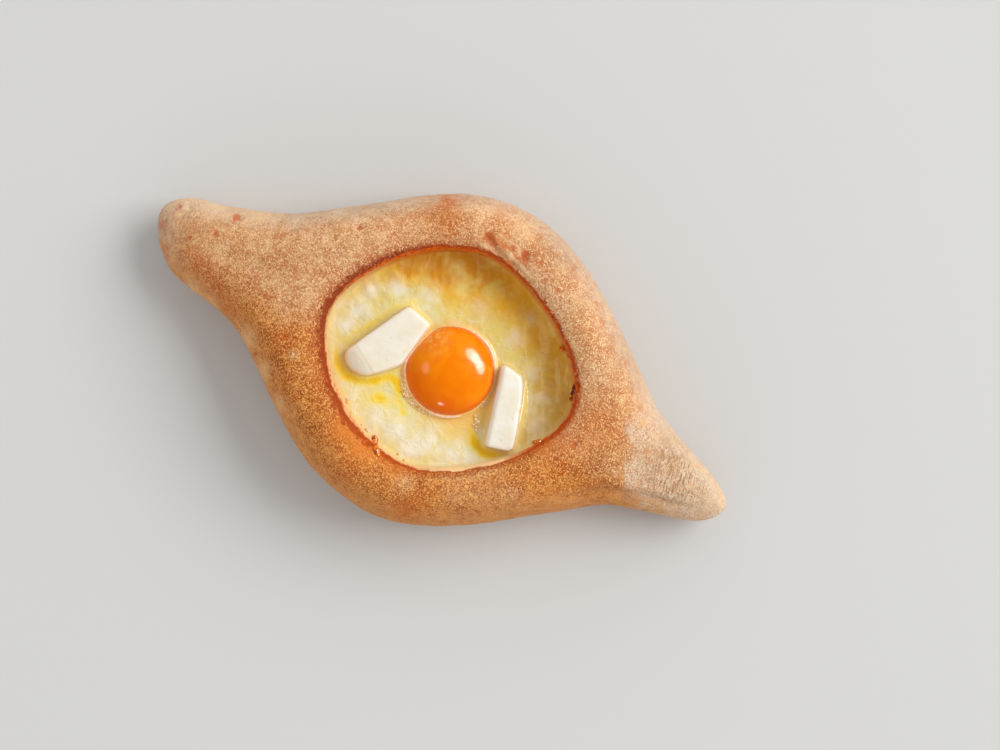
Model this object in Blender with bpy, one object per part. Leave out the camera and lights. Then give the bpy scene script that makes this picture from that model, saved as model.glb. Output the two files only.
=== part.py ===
"""Khachapuri: a boat of bread filled with melted cheese, with an egg yolk and two sticks of butter on top.

The boat lies along X, its sharper horn towards +X. Z is up, and the origin is on the table below the
middle of the bread. The sizes below are in millimetres, and MM turns them into Blender's metres.
"""
import math

import bmesh
import bpy
import numpy as np

MM = 0.001
GAP = 0.3                        # room between two pieces that touch
SHARP_ANGLE = 40.0               # degrees: edges sharper than this aren't shaded smooth

# Bread: its widest line seen from above, counter-clockwise from the tip of the right horn
OUTLINE = (
    (131.0, -2.0), (126.0, 4.5), (88.0, 21.5), (71.0, 35.0), (31.0, 62.5), (6.0, 69.5), (-20.0, 66.0),
    (-83.0, 24.8), (-106.0, 16.8), (-124.0, 11.0), (-131.0, 2.0), (-117.0, -17.5), (-84.0, -26.0),
    (-42.0, -56.0), (-22.0, -66.0), (4.0, -69.7), (29.0, -62.0), (70.0, -34.5), (86.0, -23.0),
    (124.0, -11.0),
)
OUTLINE_STEP = 0.25              # spacing of the finely divided outline
AROUND = 108                     # lines that run from the outline to the opening
TIP_CROWDING = 1.6               # how much closer those lines stand round the tips
TIP_START = 95.0                 # the tips begin this far from the middle
TIP_END = 125.0
EDGE_HEIGHT = 13.5               # height of the widest line along the sides
EDGE_HEIGHT_TIP = 12.5           # and at the tips
CREST_STATIONS = (               # height of the crust's crest along X
    (-131.0, 24.0), (-100.0, 31.0), (-60.0, 41.0), (0.0, 39.0), (62.0, 42.0), (100.0, 29.0), (131.0, 19.0),
)
CREST_BLUR = 14.0                # the stations are blended over this much of X
CREST_SWELL = 0.8                # gentle unevenness of the crest
ROLL_WIDTH = 16.5                # from the widest line in to the crest
LIP_DROP = 8.0                   # from the crest down to the lip of the opening, where it is roundest
LIP_WIDTH = 9.5                  # from the lip out to the crest, at the same place
LIP_SHARP_DROP = 5.2             # the same two where the lip is sharpest
LIP_SHARP_WIDTH = 6.5
LIP_SHARP_ANGLE = 0.96           # radians from +X, about the opening's centre
TOP_BANDS = 12                   # bands of faces from the outline to the lip
UNDER_INSET = 9.5                # how far the underside rolls in from the widest line
UNDER_INSET_TIP = 7.0
UNDER_STEPS = 3
UNDER_REACH = 0.75               # the underside's rings end before this share of a line
UNDER_SAMPLES = 76               # points at which a line's depth is measured
TIP_LIFT = 3.0                   # the tips stand this far off the table
LIFT_START = 92.0
LIFT_END = 131.0

# Well that holds the cheese
OPENING_CENTRE = (2.57, 0.89)
OPENING_HALF_LENGTH = 53.4
OPENING_HALF_WIDTH = 45.5
OPENING_POWER = 1.6              # 2 would be an ellipse, less is closer to a lens
OPENING_SOFTNESS = 0.12          # rounds the lens off at its ends
OPENING_TURN = 0.09              # radians
OPENING_WAVE = 0.015             # share of the radius, three waves round
OPENING_WAVE_PHASE = -0.29
OPENING_SAMPLES = 1440           # points of the lip that distances are measured to
WELL_FLOOR = 9.0
WELL_FILLET = 6.5
WALL_LEVELS = (19.0, 27.5)       # heights at which the wall's undercut is set
WALL_UNDERCUT = (1.5, 0.9)

# Cheese
CHEESE_LEVEL = 25.3              # surface in the middle
CHEESE_AT_WALL = 27.5            # it climbs the wall to here
CHEESE_CLIMB_POWER = 9.0         # how suddenly it climbs
CHEESE_SWELL = 0.4
CHEESE_SWELL_PACE = (0.11, 0.1)  # radians of the swell for each millimetre of X and of Y
CHEESE_RINGS = (0.95, 0.86, 0.7, 0.5, 0.28)

# Egg yolk
YOLK_CENTRE = (5.0, -2.8)
YOLK_RADIUS = 18.0
YOLK_EQUATOR = 26.5
YOLK_RISE = 9.0                  # from the widest line up to the top
YOLK_DEPTH = 8.0                 # and down to the bottom
YOLK_SECTORS = 28
YOLK_BANDS = 10
YOLK_LAST_RING = 85.0            # degrees from the widest line to the smallest ring
PRESSED_TOWARDS = (-0.966, 0.259)  # the side that leans on a butter stick
PRESSED_FROM = 13.6
PRESSED_SOFTNESS = 3.0

# Butter: corners of the top face, counter-clockwise
BUTTER_LEFT = (
    (-36.0, -14.3), (-35.3, -17.3), (-32.8, -19.7), (-29.2, -20.6), (-25.2, -20.2), (-22.6, -18.8),
    (-13.6, -9.6), (-10.5, 9.3), (-11.3, 10.5), (-20.4, 12.7), (-22.3, 12.0), (-33.6, -9.6),
)
BUTTER_LEFT_TOP = 31.0
BUTTER_RIGHT = (
    (22.7, 8.3), (30.8, -22.5), (31.7, -23.3), (40.3, -21.2), (42.0, -19.4), (37.0, -1.9),
    (33.3, 6.5), (31.3, 8.4), (24.3, 9.4),
)
BUTTER_RIGHT_TOP = 32.0
BUTTER_BOTTOM = 21.0
BUTTER_BEVEL = 1.0
SOCKET_TOP = 36.0                # the cutters for the butter sockets end in the air above the cheese

CRUST_COLOUR = (0.62, 0.32, 0.13)
CHEESE_COLOUR = (0.84, 0.68, 0.34)
YOLK_COLOUR = (0.88, 0.22, 0.01)
BUTTER_COLOUR = (0.87, 0.81, 0.66)


def clear_scene():
    """Remove everything that is in the scene."""
    for thing in list(bpy.data.objects):
        bpy.data.objects.remove(thing, do_unlink=True)


def make_material(name, colour, roughness):
    """A plain Principled material."""
    material = bpy.data.materials.new(name)
    material.use_nodes = True
    shader = material.node_tree.nodes["Principled BSDF"]
    shader.inputs["Base Color"].default_value = (*colour, 1.0)
    shader.inputs["Roughness"].default_value = roughness
    shader.inputs["Metallic"].default_value = 0.0
    material.diffuse_color = (*colour, 1.0)
    return material


def add_object(name, mesh, material=None):
    """Put a mesh in the scene, smooth where it is round."""
    thing = bpy.data.objects.new(name, mesh)
    bpy.context.scene.collection.objects.link(thing)
    if material is not None:
        mesh.materials.append(material)
    mesh.shade_smooth()
    mesh.set_sharp_from_angle(angle=math.radians(SHARP_ANGLE))
    return thing


def closed_mesh(name, rings):
    """A closed body from rings of points, each joined to the next, with a flat face over both ends."""
    mesh = bpy.data.meshes.new(name)
    work = bmesh.new()
    rows = [[work.verts.new([value * MM for value in point]) for point in ring] for ring in rings]
    for lower, upper in zip(rows, rows[1:]):
        for index in range(len(lower)):
            after = (index + 1) % len(lower)
            work.faces.new((lower[index], lower[after], upper[after], upper[index]))
    work.faces.new(rows[0])
    work.faces.new(rows[-1])
    bmesh.ops.recalc_face_normals(work, faces=work.faces)
    work.to_mesh(mesh)
    work.free()
    return mesh


def at_height(plan, height):
    """Points of a plan at one height, or each at its own."""
    return np.column_stack([plan, np.broadcast_to(height, len(plan))])


def smooth_step(value, start, end):
    """0 before start, 1 after end, with an even rise between."""
    share = np.clip((value - start) / (end - start), 0.0, 1.0)
    return share * share * (3.0 - 2.0 * share)


def dome(share):
    """A quarter circle: 0 with a steep start at 0, 1 and level from 1 on."""
    share = np.clip(share, 0.0, 1.0)
    return np.sqrt(share * (2.0 - share))


def smooth_loop(points, step):
    """A closed centripetal Catmull-Rom curve through the points, divided about every step."""
    points = np.asarray(points, float)
    count = len(points)
    pieces = []
    for index in range(count):
        before, start, end, after = (points[(index + shift) % count] for shift in (-1, 0, 1, 2))
        t_start = math.sqrt(np.linalg.norm(start - before))
        t_end = t_start + math.sqrt(np.linalg.norm(end - start))
        t_after = t_end + math.sqrt(np.linalg.norm(after - end))
        steps = max(2, round(np.linalg.norm(end - start) / step))
        t = np.linspace(t_start, t_end, steps, endpoint=False)[:, None]
        first = ((t_start - t) * before + t * start) / t_start
        second = ((t_end - t) * start + (t - t_start) * end) / (t_end - t_start)
        third = ((t_after - t) * end + (t - t_end) * after) / (t_after - t_end)
        left = ((t_end - t) * first + t * second) / t_end
        right = ((t_after - t) * second + (t - t_start) * third) / (t_after - t_start)
        pieces.append(((t_end - t) * left + (t - t_start) * right) / (t_end - t_start))
    return np.concatenate(pieces)


def soft_depth(points, rim):
    """Distance from points to a closed rim, blended so that it has no crease midway between two sides.

    The sum runs over the rim, and the factor makes the result exact beside a straight rim.
    """
    lengths = np.linalg.norm(rim - np.roll(rim, 1, axis=0), axis=1)
    reach = np.linalg.norm(points[:, None, :] - rim[None, :, :], axis=2)
    reach = np.maximum(reach, 0.01)
    return (0.75 * (lengths / reach ** 5).sum(axis=1)) ** -0.25


def nearest(points, rim):
    """Distance from points to the nearest point of a rim."""
    return np.linalg.norm(points[:, None, :] - rim[None, :, :], axis=2).min(axis=1)


def spread_around(outline):
    """Pick the points where the lines start: evenly along the outline, closer together round the tips."""
    lengths = np.linalg.norm(np.roll(outline, -1, axis=0) - outline, axis=1)
    crowding = 1.0 + TIP_CROWDING * smooth_step(np.abs(outline[:, 0]), TIP_START, TIP_END)
    travelled = np.concatenate([[0.0], np.cumsum(lengths * crowding)])
    wanted = np.linspace(0.0, travelled[-1], AROUND, endpoint=False)
    return outline[np.searchsorted(travelled[:-1], wanted - 1e-9)]


def opening_points(angles, grow=0.0):
    """The lip of the well at the given angles about its centre, moved outward by grow."""
    turned = angles - OPENING_TURN
    along = np.hypot(np.cos(turned), OPENING_SOFTNESS) / OPENING_HALF_LENGTH
    across = np.hypot(np.sin(turned), OPENING_SOFTNESS) / OPENING_HALF_WIDTH
    radius = (along ** OPENING_POWER + across ** OPENING_POWER) ** (-1.0 / OPENING_POWER)
    radius *= 1.0 + OPENING_WAVE * np.cos(3.0 * angles + OPENING_WAVE_PHASE)
    radius += grow
    return np.column_stack([radius * np.cos(angles), radius * np.sin(angles)]) + OPENING_CENTRE


def opening_angles(starts):
    """The angle on the lip for each line: half by the outline point's direction, half evenly spaced."""
    offset = starts - OPENING_CENTRE
    facing = np.unwrap(np.arctan2(offset[:, 1], offset[:, 0]))
    even = np.arange(AROUND) * 2.0 * math.pi / AROUND
    even += (facing - even).mean()
    return 0.5 * (facing + even)


def crest_height(plan):
    """Height of the crust's crest at points of the plan."""
    stations, heights = np.array(CREST_STATIONS).T
    offsets = np.linspace(-CREST_BLUR, CREST_BLUR, 9)
    height = np.mean([np.interp(plan[:, 0] + offset, stations, heights) for offset in offsets], axis=0)
    angle = np.arctan2(plan[:, 1], plan[:, 0])
    return height + CREST_SWELL * (0.6 * np.sin(3.0 * angle + 1.0) + 0.4 * np.sin(5.0 * angle))


def edge_height(plan):
    """Height of the widest line."""
    tip = smooth_step(np.abs(plan[:, 0]), TIP_START, TIP_END)
    return EDGE_HEIGHT + (EDGE_HEIGHT_TIP - EDGE_HEIGHT) * tip


def crust_top(plan, outline, lip):
    """Height of the crust: a roll up from the widest line, then down over the lip into the well."""
    edge = edge_height(plan)
    rise = dome(soft_depth(plan, outline) / ROLL_WIDTH)
    offset = plan - OPENING_CENTRE
    sharp = 0.5 + 0.5 * np.cos(np.arctan2(offset[:, 1], offset[:, 0]) - LIP_SHARP_ANGLE)
    drop = LIP_DROP + (LIP_SHARP_DROP - LIP_DROP) * sharp
    width = LIP_WIDTH + (LIP_SHARP_WIDTH - LIP_WIDTH) * sharp
    fall = 1.0 - dome(nearest(plan, lip) / width)
    return edge + (crest_height(plan) - edge) * rise - drop * fall


def well_rings(angles, clearance=0.0):
    """The floor and wall of the well, from the floor up; the cheese's outside is the same, moved in."""
    rings = []
    foot = WALL_UNDERCUT[0] - clearance
    for turn in (0.0, 45.0, 90.0):
        turn = math.radians(turn)
        inset = WELL_FILLET * (1.0 - math.sin(turn))
        height = WELL_FLOOR + clearance + WELL_FILLET * (1.0 - math.cos(turn))
        rings.append(at_height(opening_points(angles, foot - inset), height))
    for height, undercut in zip(WALL_LEVELS, WALL_UNDERCUT):
        rings.append(at_height(opening_points(angles, undercut - clearance), height))
    return rings


def under_rings(starts, ends, outline):
    """The underside: rolled in below the widest line, then flat on the table up to the tips' lift."""
    shares = np.linspace(0.0, UNDER_REACH, UNDER_SAMPLES)
    lines = starts[:, None, :] + (ends - starts)[:, None, :] * shares[None, :, None]
    depths = soft_depth(lines.reshape(-1, 2), outline).reshape(AROUND, -1)
    depths[:, 0] = 0.0
    depths = np.maximum.accumulate(depths, axis=1)
    tip = smooth_step(np.abs(starts[:, 0]), TIP_START, TIP_END)
    inset = UNDER_INSET + (UNDER_INSET_TIP - UNDER_INSET) * tip
    edge = edge_height(starts)
    rings = []
    for step in range(1, UNDER_STEPS + 1):
        turn = 0.5 * math.pi * step / UNDER_STEPS
        wanted = inset * (1.0 - math.cos(turn))
        along = np.array([np.interp(want, depth, shares) for want, depth in zip(wanted, depths)])
        plan = starts + (ends - starts) * along[:, None]
        lift = TIP_LIFT * smooth_step(np.abs(plan[:, 0]), LIFT_START, LIFT_END)
        rings.append(at_height(plan, lift + (edge - lift) * (1.0 - math.sin(turn))))
    foot = 0.5 * (rings[-1][:, :2] + ends)
    rings.append(at_height(foot, 0.0))
    return rings


def build_bread():
    """The crust: well floor, wall, lip, rolled top, widest line, underside and foot."""
    outline = smooth_loop(OUTLINE, OUTLINE_STEP)
    starts = spread_around(outline)
    angles = opening_angles(starts)
    ends = opening_points(angles)
    lip = opening_points(np.linspace(0.0, 2.0 * math.pi, OPENING_SAMPLES, endpoint=False))
    rings = well_rings(angles)
    for band in range(TOP_BANDS, 0, -1):
        share = 0.5 - 0.5 * math.cos(math.pi * band / TOP_BANDS)
        plan = starts + (ends - starts) * share
        rings.append(at_height(plan, crust_top(plan, outline, lip)))
    rings.append(at_height(starts, edge_height(starts)))
    rings.extend(under_rings(starts, ends, outline))
    material = make_material("crust", CRUST_COLOUR, 0.75)
    add_object("bread", closed_mesh("bread", rings), material)
    return angles


def build_cheese(angles, cutters):
    """The melted cheese: it fills the well and climbs the wall, with sockets for what is sunk in it."""
    rings = well_rings(angles, GAP)
    edge = rings[-1][:, :2]
    pace_x, pace_y = CHEESE_SWELL_PACE
    for share in CHEESE_RINGS:
        plan = np.array(OPENING_CENTRE) + (edge - OPENING_CENTRE) * share
        climb = (CHEESE_AT_WALL - CHEESE_LEVEL) * share ** CHEESE_CLIMB_POWER
        swell = CHEESE_SWELL * np.sin(pace_x * plan[:, 0] + 1.0) * np.cos(pace_y * plan[:, 1])
        rings.append(at_height(plan, CHEESE_LEVEL + climb + swell * (1.0 - share ** 2)))
    material = make_material("cheese", CHEESE_COLOUR, 0.4)
    cheese = add_object("cheese_filling", closed_mesh("cheese_filling", rings), material)
    for cutter in cutters:
        cut = cheese.modifiers.new("socket", "BOOLEAN")
        cut.operation = "DIFFERENCE"
        cut.solver = "EXACT"
        cut.object = cutter


def yolk_rings(grow=0.0):
    """A low round dome, pressed in on the side that leans on the butter."""
    towards = np.array(PRESSED_TOWARDS)
    angles = np.linspace(0.0, 2.0 * math.pi, YOLK_SECTORS, endpoint=False)
    rings = []
    for band in range(YOLK_BANDS):
        turn = math.radians(YOLK_LAST_RING) * (2.0 * band / (YOLK_BANDS - 1) - 1.0)
        radius = YOLK_RADIUS * math.cos(turn)
        half_height = YOLK_RISE if turn > 0.0 else YOLK_DEPTH
        plan = np.column_stack([radius * np.cos(angles), radius * np.sin(angles)])
        reach = plan @ towards
        past = np.maximum(reach - PRESSED_FROM, 0.0)
        pressed = PRESSED_SOFTNESS * np.tanh(past / PRESSED_SOFTNESS)
        plan = plan + np.outer(pressed - past, towards)
        size = np.linalg.norm(plan, axis=1, keepdims=True)
        plan = plan * (1.0 + grow * math.cos(turn) / size) + YOLK_CENTRE
        rings.append(at_height(plan, YOLK_EQUATOR + (half_height + grow) * math.sin(turn)))
    return rings


def grown_corners(corners, grow):
    """The corners of a polygon after each of its sides has moved outward by grow."""
    corners = np.asarray(corners)
    along = np.roll(corners, -1, axis=0) - corners
    along /= np.linalg.norm(along, axis=1, keepdims=True)
    outward = np.column_stack([along[:, 1], -along[:, 0]])
    before = np.roll(outward, 1, axis=0)
    share = 1.0 + (outward * before).sum(axis=1, keepdims=True)
    return corners + grow * (outward + before) / share


def stick_mesh(name, corners, bottom, top):
    """An upright prism over a polygon."""
    return closed_mesh(name, [at_height(corners, bottom), at_height(corners, top)])


def make_cutter(name, mesh):
    """A hidden body that cuts a socket."""
    cutter = add_object(name, mesh)
    cutter.hide_render = True
    cutter.display_type = "WIRE"
    return cutter


def build_yolk():
    """The yolk and the body that cuts its socket."""
    add_object("egg_yolk", closed_mesh("egg_yolk", yolk_rings()), make_material("yolk", YOLK_COLOUR, 0.15))
    return make_cutter("yolk_cutter", closed_mesh("yolk_cutter", yolk_rings(GAP)))


def build_butter(side, corners, top, material):
    """A stick of butter with softened edges, and the body that cuts its socket."""
    corners = np.asarray(corners)
    name = "butter_stick_" + side
    stick = add_object(name, stick_mesh(name, corners, BUTTER_BOTTOM, top), material)
    bevel = stick.modifiers.new("soft_edges", "BEVEL")
    bevel.width = BUTTER_BEVEL * MM
    bevel.segments = 2
    cutter_name = name + "_cutter"
    socket = grown_corners(corners, GAP)
    return make_cutter(cutter_name, stick_mesh(cutter_name, socket, BUTTER_BOTTOM - GAP, SOCKET_TOP))


def main():
    """Build the whole khachapuri."""
    clear_scene()
    butter = make_material("butter", BUTTER_COLOUR, 0.35)
    cutters = [
        build_yolk(),
        build_butter("left", BUTTER_LEFT, BUTTER_LEFT_TOP, butter),
        build_butter("right", BUTTER_RIGHT, BUTTER_RIGHT_TOP, butter),
    ]
    angles = build_bread()
    build_cheese(angles, cutters)


main()
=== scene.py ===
"""Looks of the khachapuri: crust, melted cheese, yolk, butter, melted butter, foam and toasted beads.

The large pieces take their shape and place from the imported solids, and the small ones lie on them. Sizes
are in millimetres, and MM turns them into metres. Directions are in degrees round from +X. Colours are as on
a screen, 0 to 255. Each wobble has a seed of its own.
"""

import itertools
import math
import random

import bmesh
import bpy
import numpy as np
from mathutils import Matrix, Vector
from mathutils.geometry import convex_hull_2d


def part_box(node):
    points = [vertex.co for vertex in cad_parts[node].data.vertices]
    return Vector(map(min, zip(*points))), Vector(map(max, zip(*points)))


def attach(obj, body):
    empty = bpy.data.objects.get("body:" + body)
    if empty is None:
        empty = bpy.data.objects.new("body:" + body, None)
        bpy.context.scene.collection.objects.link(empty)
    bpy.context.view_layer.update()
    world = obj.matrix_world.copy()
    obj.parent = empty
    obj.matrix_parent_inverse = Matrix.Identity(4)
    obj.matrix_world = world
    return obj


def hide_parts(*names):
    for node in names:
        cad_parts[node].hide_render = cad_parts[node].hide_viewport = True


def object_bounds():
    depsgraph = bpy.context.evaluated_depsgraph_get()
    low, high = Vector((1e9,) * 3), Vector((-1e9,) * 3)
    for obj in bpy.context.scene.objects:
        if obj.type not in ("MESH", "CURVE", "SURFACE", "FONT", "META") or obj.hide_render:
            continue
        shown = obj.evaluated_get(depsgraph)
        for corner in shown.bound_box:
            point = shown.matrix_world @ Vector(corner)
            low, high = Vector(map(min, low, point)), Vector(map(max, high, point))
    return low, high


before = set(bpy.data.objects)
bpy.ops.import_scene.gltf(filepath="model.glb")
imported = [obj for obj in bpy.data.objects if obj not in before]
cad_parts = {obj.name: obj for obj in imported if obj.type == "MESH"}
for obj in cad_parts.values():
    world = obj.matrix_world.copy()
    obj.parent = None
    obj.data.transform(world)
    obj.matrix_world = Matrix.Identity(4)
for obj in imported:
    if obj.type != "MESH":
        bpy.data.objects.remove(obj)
cad_low, cad_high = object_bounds()

MM = 0.001

# Camera, straight above: its right-hand side points CAMERA_TURN round from +X
CAMERA_TURN = 27.0
CAMERA_PLACE = (23.7, 4.9, 811)
CAMERA_LENS = 70.0

# One large lamp, azimuth and elevation, in a room with pale walls and a dim ceiling
KEY_WAY = (47, 37)
KEY_DISTANCE = 6000.0
KEY_SIZE = (5000, 3200)
KEY_POWER = 300.0
KEY_COLOUR = (1.0, 0.985, 0.965)
SKY_OVERHEAD = 0.28
SKY_AROUND = 1.1
SKY_EDGE = 0.3                       # height, as a sine, up to which the walls reach
FLOOR_SIDE = 1500.0                  # half the floor's width
# Windows that show only as reflections: azimuth, elevation, width and height in degrees, brightness
WINDOW_DISTANCE = 3000.0
WINDOWS = (
    (63, 47, 22, 23, 13), (49, 44, 24, 21, 12), (34, 39, 22, 24, 13),
    (281, 27, 8, 10, 12), (200, 52, 18, 14, 2),
)

# Mesh fineness
BREAD_VOXEL = 0.7
BUTTER_VOXEL = 0.4
CHEESE_AROUND = 420
CHEESE_RINGS = 96
YOLK_AROUND = 144
YOLK_RINGS = 80
FILM_AROUND = 240
FILM_RINGS = 11
ARC_STEPS = 40
BUBBLE_STEPS = 24
HIDDEN_KEPT = 0.62                   # share of the bread's faces kept where they are hidden
FINE_LIP = (1.5, 3.0)                # finer faces along the lip: how far out their middle is, and their reach


def paint(red, green, blue):
    """A colour given as on a screen, 0 to 255, as the linear colour that a shader takes."""
    shares = (value / 255.0 for value in (red, green, blue))
    linear = (s / 12.92 if s <= 0.04045 else ((s + 0.055) / 1.055) ** 2.4 for s in shares)
    return (*linear, 1.0)


# ---------------------------------------------------------------- noise and masks, on arrays of points

def columns(plan, *values):
    """Points of the plan with further numbers beside them, such as heights: one for each point or for all."""
    return np.column_stack([plan, *(np.broadcast_to(value, len(plan)) for value in values)])


def unit(vectors):
    """Vectors brought to length 1."""
    return vectors / np.linalg.norm(vectors, axis=1, keepdims=True)


def wobble(points, size, seed):
    """Smooth noise from about -1 to 1, features about size across. Points of the plan are at height 0."""
    places = (columns(points, 0.0) if points.shape[1] == 2 else points) / size
    cell = np.floor(places).astype(np.int64)
    part = places - cell
    ease = part ** 3 * (part * (part * 6.0 - 15.0) + 10.0)
    total = np.zeros(len(points))
    for corner in itertools.product((0, 1), repeat=3):
        key = cell + corner
        code = key[:, 0] * 73856093 ^ key[:, 1] * 19349663 ^ key[:, 2] * 83492791 ^ seed * 2654435761
        code = (code ^ code >> 15) * 2246822519 & 0xFFFFFFFF
        code = (code ^ code >> 13) * 3266489917 & 0xFFFFFFFF
        code ^= code >> 16
        slope = np.stack([code & 1023, code >> 10 & 1023, code >> 20 & 1023], 1) / 511.5 - 1.0
        weight = np.where(corner, ease, 1.0 - ease).prod(axis=1)
        total += weight * (slope * (part - corner)).sum(axis=1)
    return 1.3 * total


def wobbles(points, *layers):
    """The sum of several wobbles, each an amount, a size and a seed."""
    return sum(amount * wobble(points, size, seed) for amount, size, seed in layers)


def rise(value, low, high):
    """0 below low, 1 above high, with a smooth step between. high may be the smaller of the two."""
    share = np.clip((value - low) / (high - low), 0.0, 1.0)
    return share * share * (3.0 - 2.0 * share)


def bell(distance, width):
    """1 at distance 0, falling smoothly to nothing over about two widths."""
    return np.exp(-(distance / width) ** 2)


def way(degrees):
    """The direction in plan at an angle from +X."""
    turn = math.radians(degrees)
    return np.array([math.cos(turn), math.sin(turn)])


def circle(count):
    """Points spaced evenly round a circle of radius 1."""
    turns = np.linspace(0.0, 2.0 * math.pi, count, endpoint=False)
    return np.column_stack([np.cos(turns), np.sin(turns)])


def away_from(plan, *place):
    """Distance of points of the plan from a place."""
    return np.linalg.norm(plan - place, axis=1)


def heading(plan, middle):
    """Direction of points of the plan as seen from a middle."""
    x, y = (plan - middle).T
    return np.degrees(np.arctan2(y, x))


def facing(plan, degrees, spread, middle=None):
    """1 for points in a direction from a middle, or else from the well's, falling off over spread degrees."""
    turn = heading(plan, well_middle if middle is None else middle)
    return bell((turn - degrees + 180.0) % 360.0 - 180.0, spread)


def facing_yolk(plan, degrees, spread):
    """1 for points in a direction from the yolk's middle, falling off over spread degrees."""
    return facing(plan, degrees, spread, yolk_middle)


def around(plan, stops):
    """A value that depends on the direction from the well's middle: stops are (direction, value)."""
    return np.interp(heading(plan, well_middle), *zip(*stops), period=360.0)


def spot_sum(plan, spots):
    """The sum of soft round spots, each x, y, width and height."""
    return sum(height * bell(away_from(plan, x, y), width) for x, y, width, height in spots)


def turned(points, degrees):
    """Points measured along axes turned about Z."""
    x, y, z = points.T
    right, up = way(degrees)
    return np.column_stack([x * right + y * up, y * right - x * up, z])


def loop_distance(plan, loop):
    """Distance in plan to a closed loop: positive outside the loop, negative inside."""
    ends = np.roll(loop, -1, axis=0)
    along = ends - loop
    batch = 20000                    # as many points at a time as memory takes easily
    result = np.empty(len(plan))
    for start in range(0, len(plan), batch):
        points = plan[start:start + batch, None, :]
        share = ((points - loop) * along).sum(2) / (along ** 2).sum(1)
        foot = loop + along * np.clip(share, 0.0, 1.0)[:, :, None]
        gap = np.linalg.norm(points - foot, axis=2).min(1)
        above = (loop[:, 1] > points[:, :, 1]) != (ends[:, 1] > points[:, :, 1])
        with np.errstate(divide="ignore", invalid="ignore"):
            across = loop[:, 0] + (points[:, :, 1] - loop[:, 1]) * along[:, 0] / along[:, 1]
        inside = (above & (points[:, :, 0] < across)).sum(1) % 2 == 1
        result[start:start + batch] = np.where(inside, -gap, gap)
    return result


# ---------------------------------------------------------------- meshes

def read_vectors(mesh, what):
    """One vector for each point of a mesh."""
    values = np.empty(len(mesh.vertices) * 3)
    mesh.vertices.foreach_get(what, values)
    return values.reshape(-1, 3)


def get_points(mesh):
    """A mesh's points, in millimetres."""
    return read_vectors(mesh, "co") / MM


def get_normals(mesh):
    """The direction that each point of a mesh faces."""
    return read_vectors(mesh, "normal")


def set_points(mesh, points):
    """Move a mesh's points, given in millimetres."""
    mesh.vertices.foreach_set("co", (points * MM).ravel())
    mesh.update()


def set_masks(mesh, **masks):
    """Keep named numbers for each point, for a material to read."""
    for name, values in masks.items():
        mask = mesh.attributes.new(name, "FLOAT", "POINT")
        mask.data.foreach_set("value", np.asarray(values, np.float32))


def make_mesh(name, points, faces):
    """A mesh from points in millimetres and faces."""
    mesh = bpy.data.meshes.new(name)
    mesh.from_pydata((np.array(points) * MM).tolist(), [], faces)
    mesh.update()
    return mesh


def mesh_from(work, name):
    """A mesh made from a work mesh, which is freed."""
    mesh = bpy.data.meshes.new(name)
    work.to_mesh(mesh)
    work.free()
    return mesh


def work_mesh(mesh):
    """A work mesh to edit, made from a mesh."""
    work = bmesh.new()
    work.from_mesh(mesh)
    return work


def ring_faces(ring, following):
    """Faces between rings of point numbers and the rings that follow them."""
    corners = [ring, np.roll(ring, -1, axis=1), np.roll(following, -1, axis=1), following]
    return np.stack(corners, axis=-1).reshape(-1, 4).tolist()


def tube_faces(index):
    """Faces along rows of point numbers, one row for each ring, with a cap at both ends."""
    return ring_faces(index[:-1], index[1:]) + [index[0][::-1].tolist(), index[-1].tolist()]


def ring_mesh(name, rings):
    """A closed mesh from rings with the same number of points, bottom first, the end rings very small."""
    index = np.arange(len(rings) * len(rings[0])).reshape(len(rings), -1)
    return make_mesh(name, np.concatenate(rings), tube_faces(index))


def link_object(name, data):
    """A new object in the scene."""
    item = bpy.data.objects.new(name, data)
    bpy.context.scene.collection.objects.link(item)
    return item


def add_piece(name, mesh, material, slot, *nodes):
    """Put a finished mesh in the scene: it rides on the one body and stands for the given nodes."""
    piece = link_object(name, mesh)
    mesh.materials.clear()
    mesh.materials.append(material)
    mesh.shade_smooth()
    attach(piece, "root")
    if nodes:
        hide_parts(*nodes)
    return piece


def add_modifier(piece, kind, **settings):
    """Give an object a modifier."""
    modifier = piece.modifiers.new(kind, kind)
    for setting, value in settings.items():
        setattr(modifier, setting, value)


def apply_modifiers(piece):
    """The mesh of an object with its modifiers applied; the object is removed."""
    bpy.context.view_layer.update()
    shown = piece.evaluated_get(bpy.context.evaluated_depsgraph_get())
    mesh = bpy.data.meshes.new_from_object(shown)
    bpy.data.objects.remove(piece)
    return mesh


def refined(node, voxel, rounding=2, smoothing=4):
    """A solid's surface, rounded off and divided evenly into faces of about one voxel."""
    work = work_mesh(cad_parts[node].data)
    bmesh.ops.remove_doubles(work, verts=work.verts, dist=0.01 * MM)
    flat = math.radians(60.0)
    bmesh.ops.join_triangles(work, faces=work.faces, angle_face_threshold=flat, angle_shape_threshold=flat)
    piece = link_object("working_copy", mesh_from(work, node))
    add_modifier(piece, "SUBSURF", levels=rounding, render_levels=rounding)
    add_modifier(piece, "REMESH", mode="VOXEL", voxel_size=voxel * MM)
    add_modifier(piece, "SMOOTH", factor=0.5, iterations=smoothing)
    return apply_modifiers(piece)


def thinned(mesh, hidden, ratio):
    """The mesh with fewer faces where hidden, a share for each point, is near 1."""
    piece = link_object("working_copy", mesh)
    group = piece.vertex_groups.new(name="hidden")
    levels = np.round(hidden * 4.0) / 4.0
    for level in np.unique(levels[levels > 0.0]):
        group.add(np.nonzero(levels == level)[0].tolist(), float(level), "REPLACE")
    add_modifier(piece, "DECIMATE", ratio=ratio, vertex_group="hidden")
    return apply_modifiers(piece)


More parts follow.
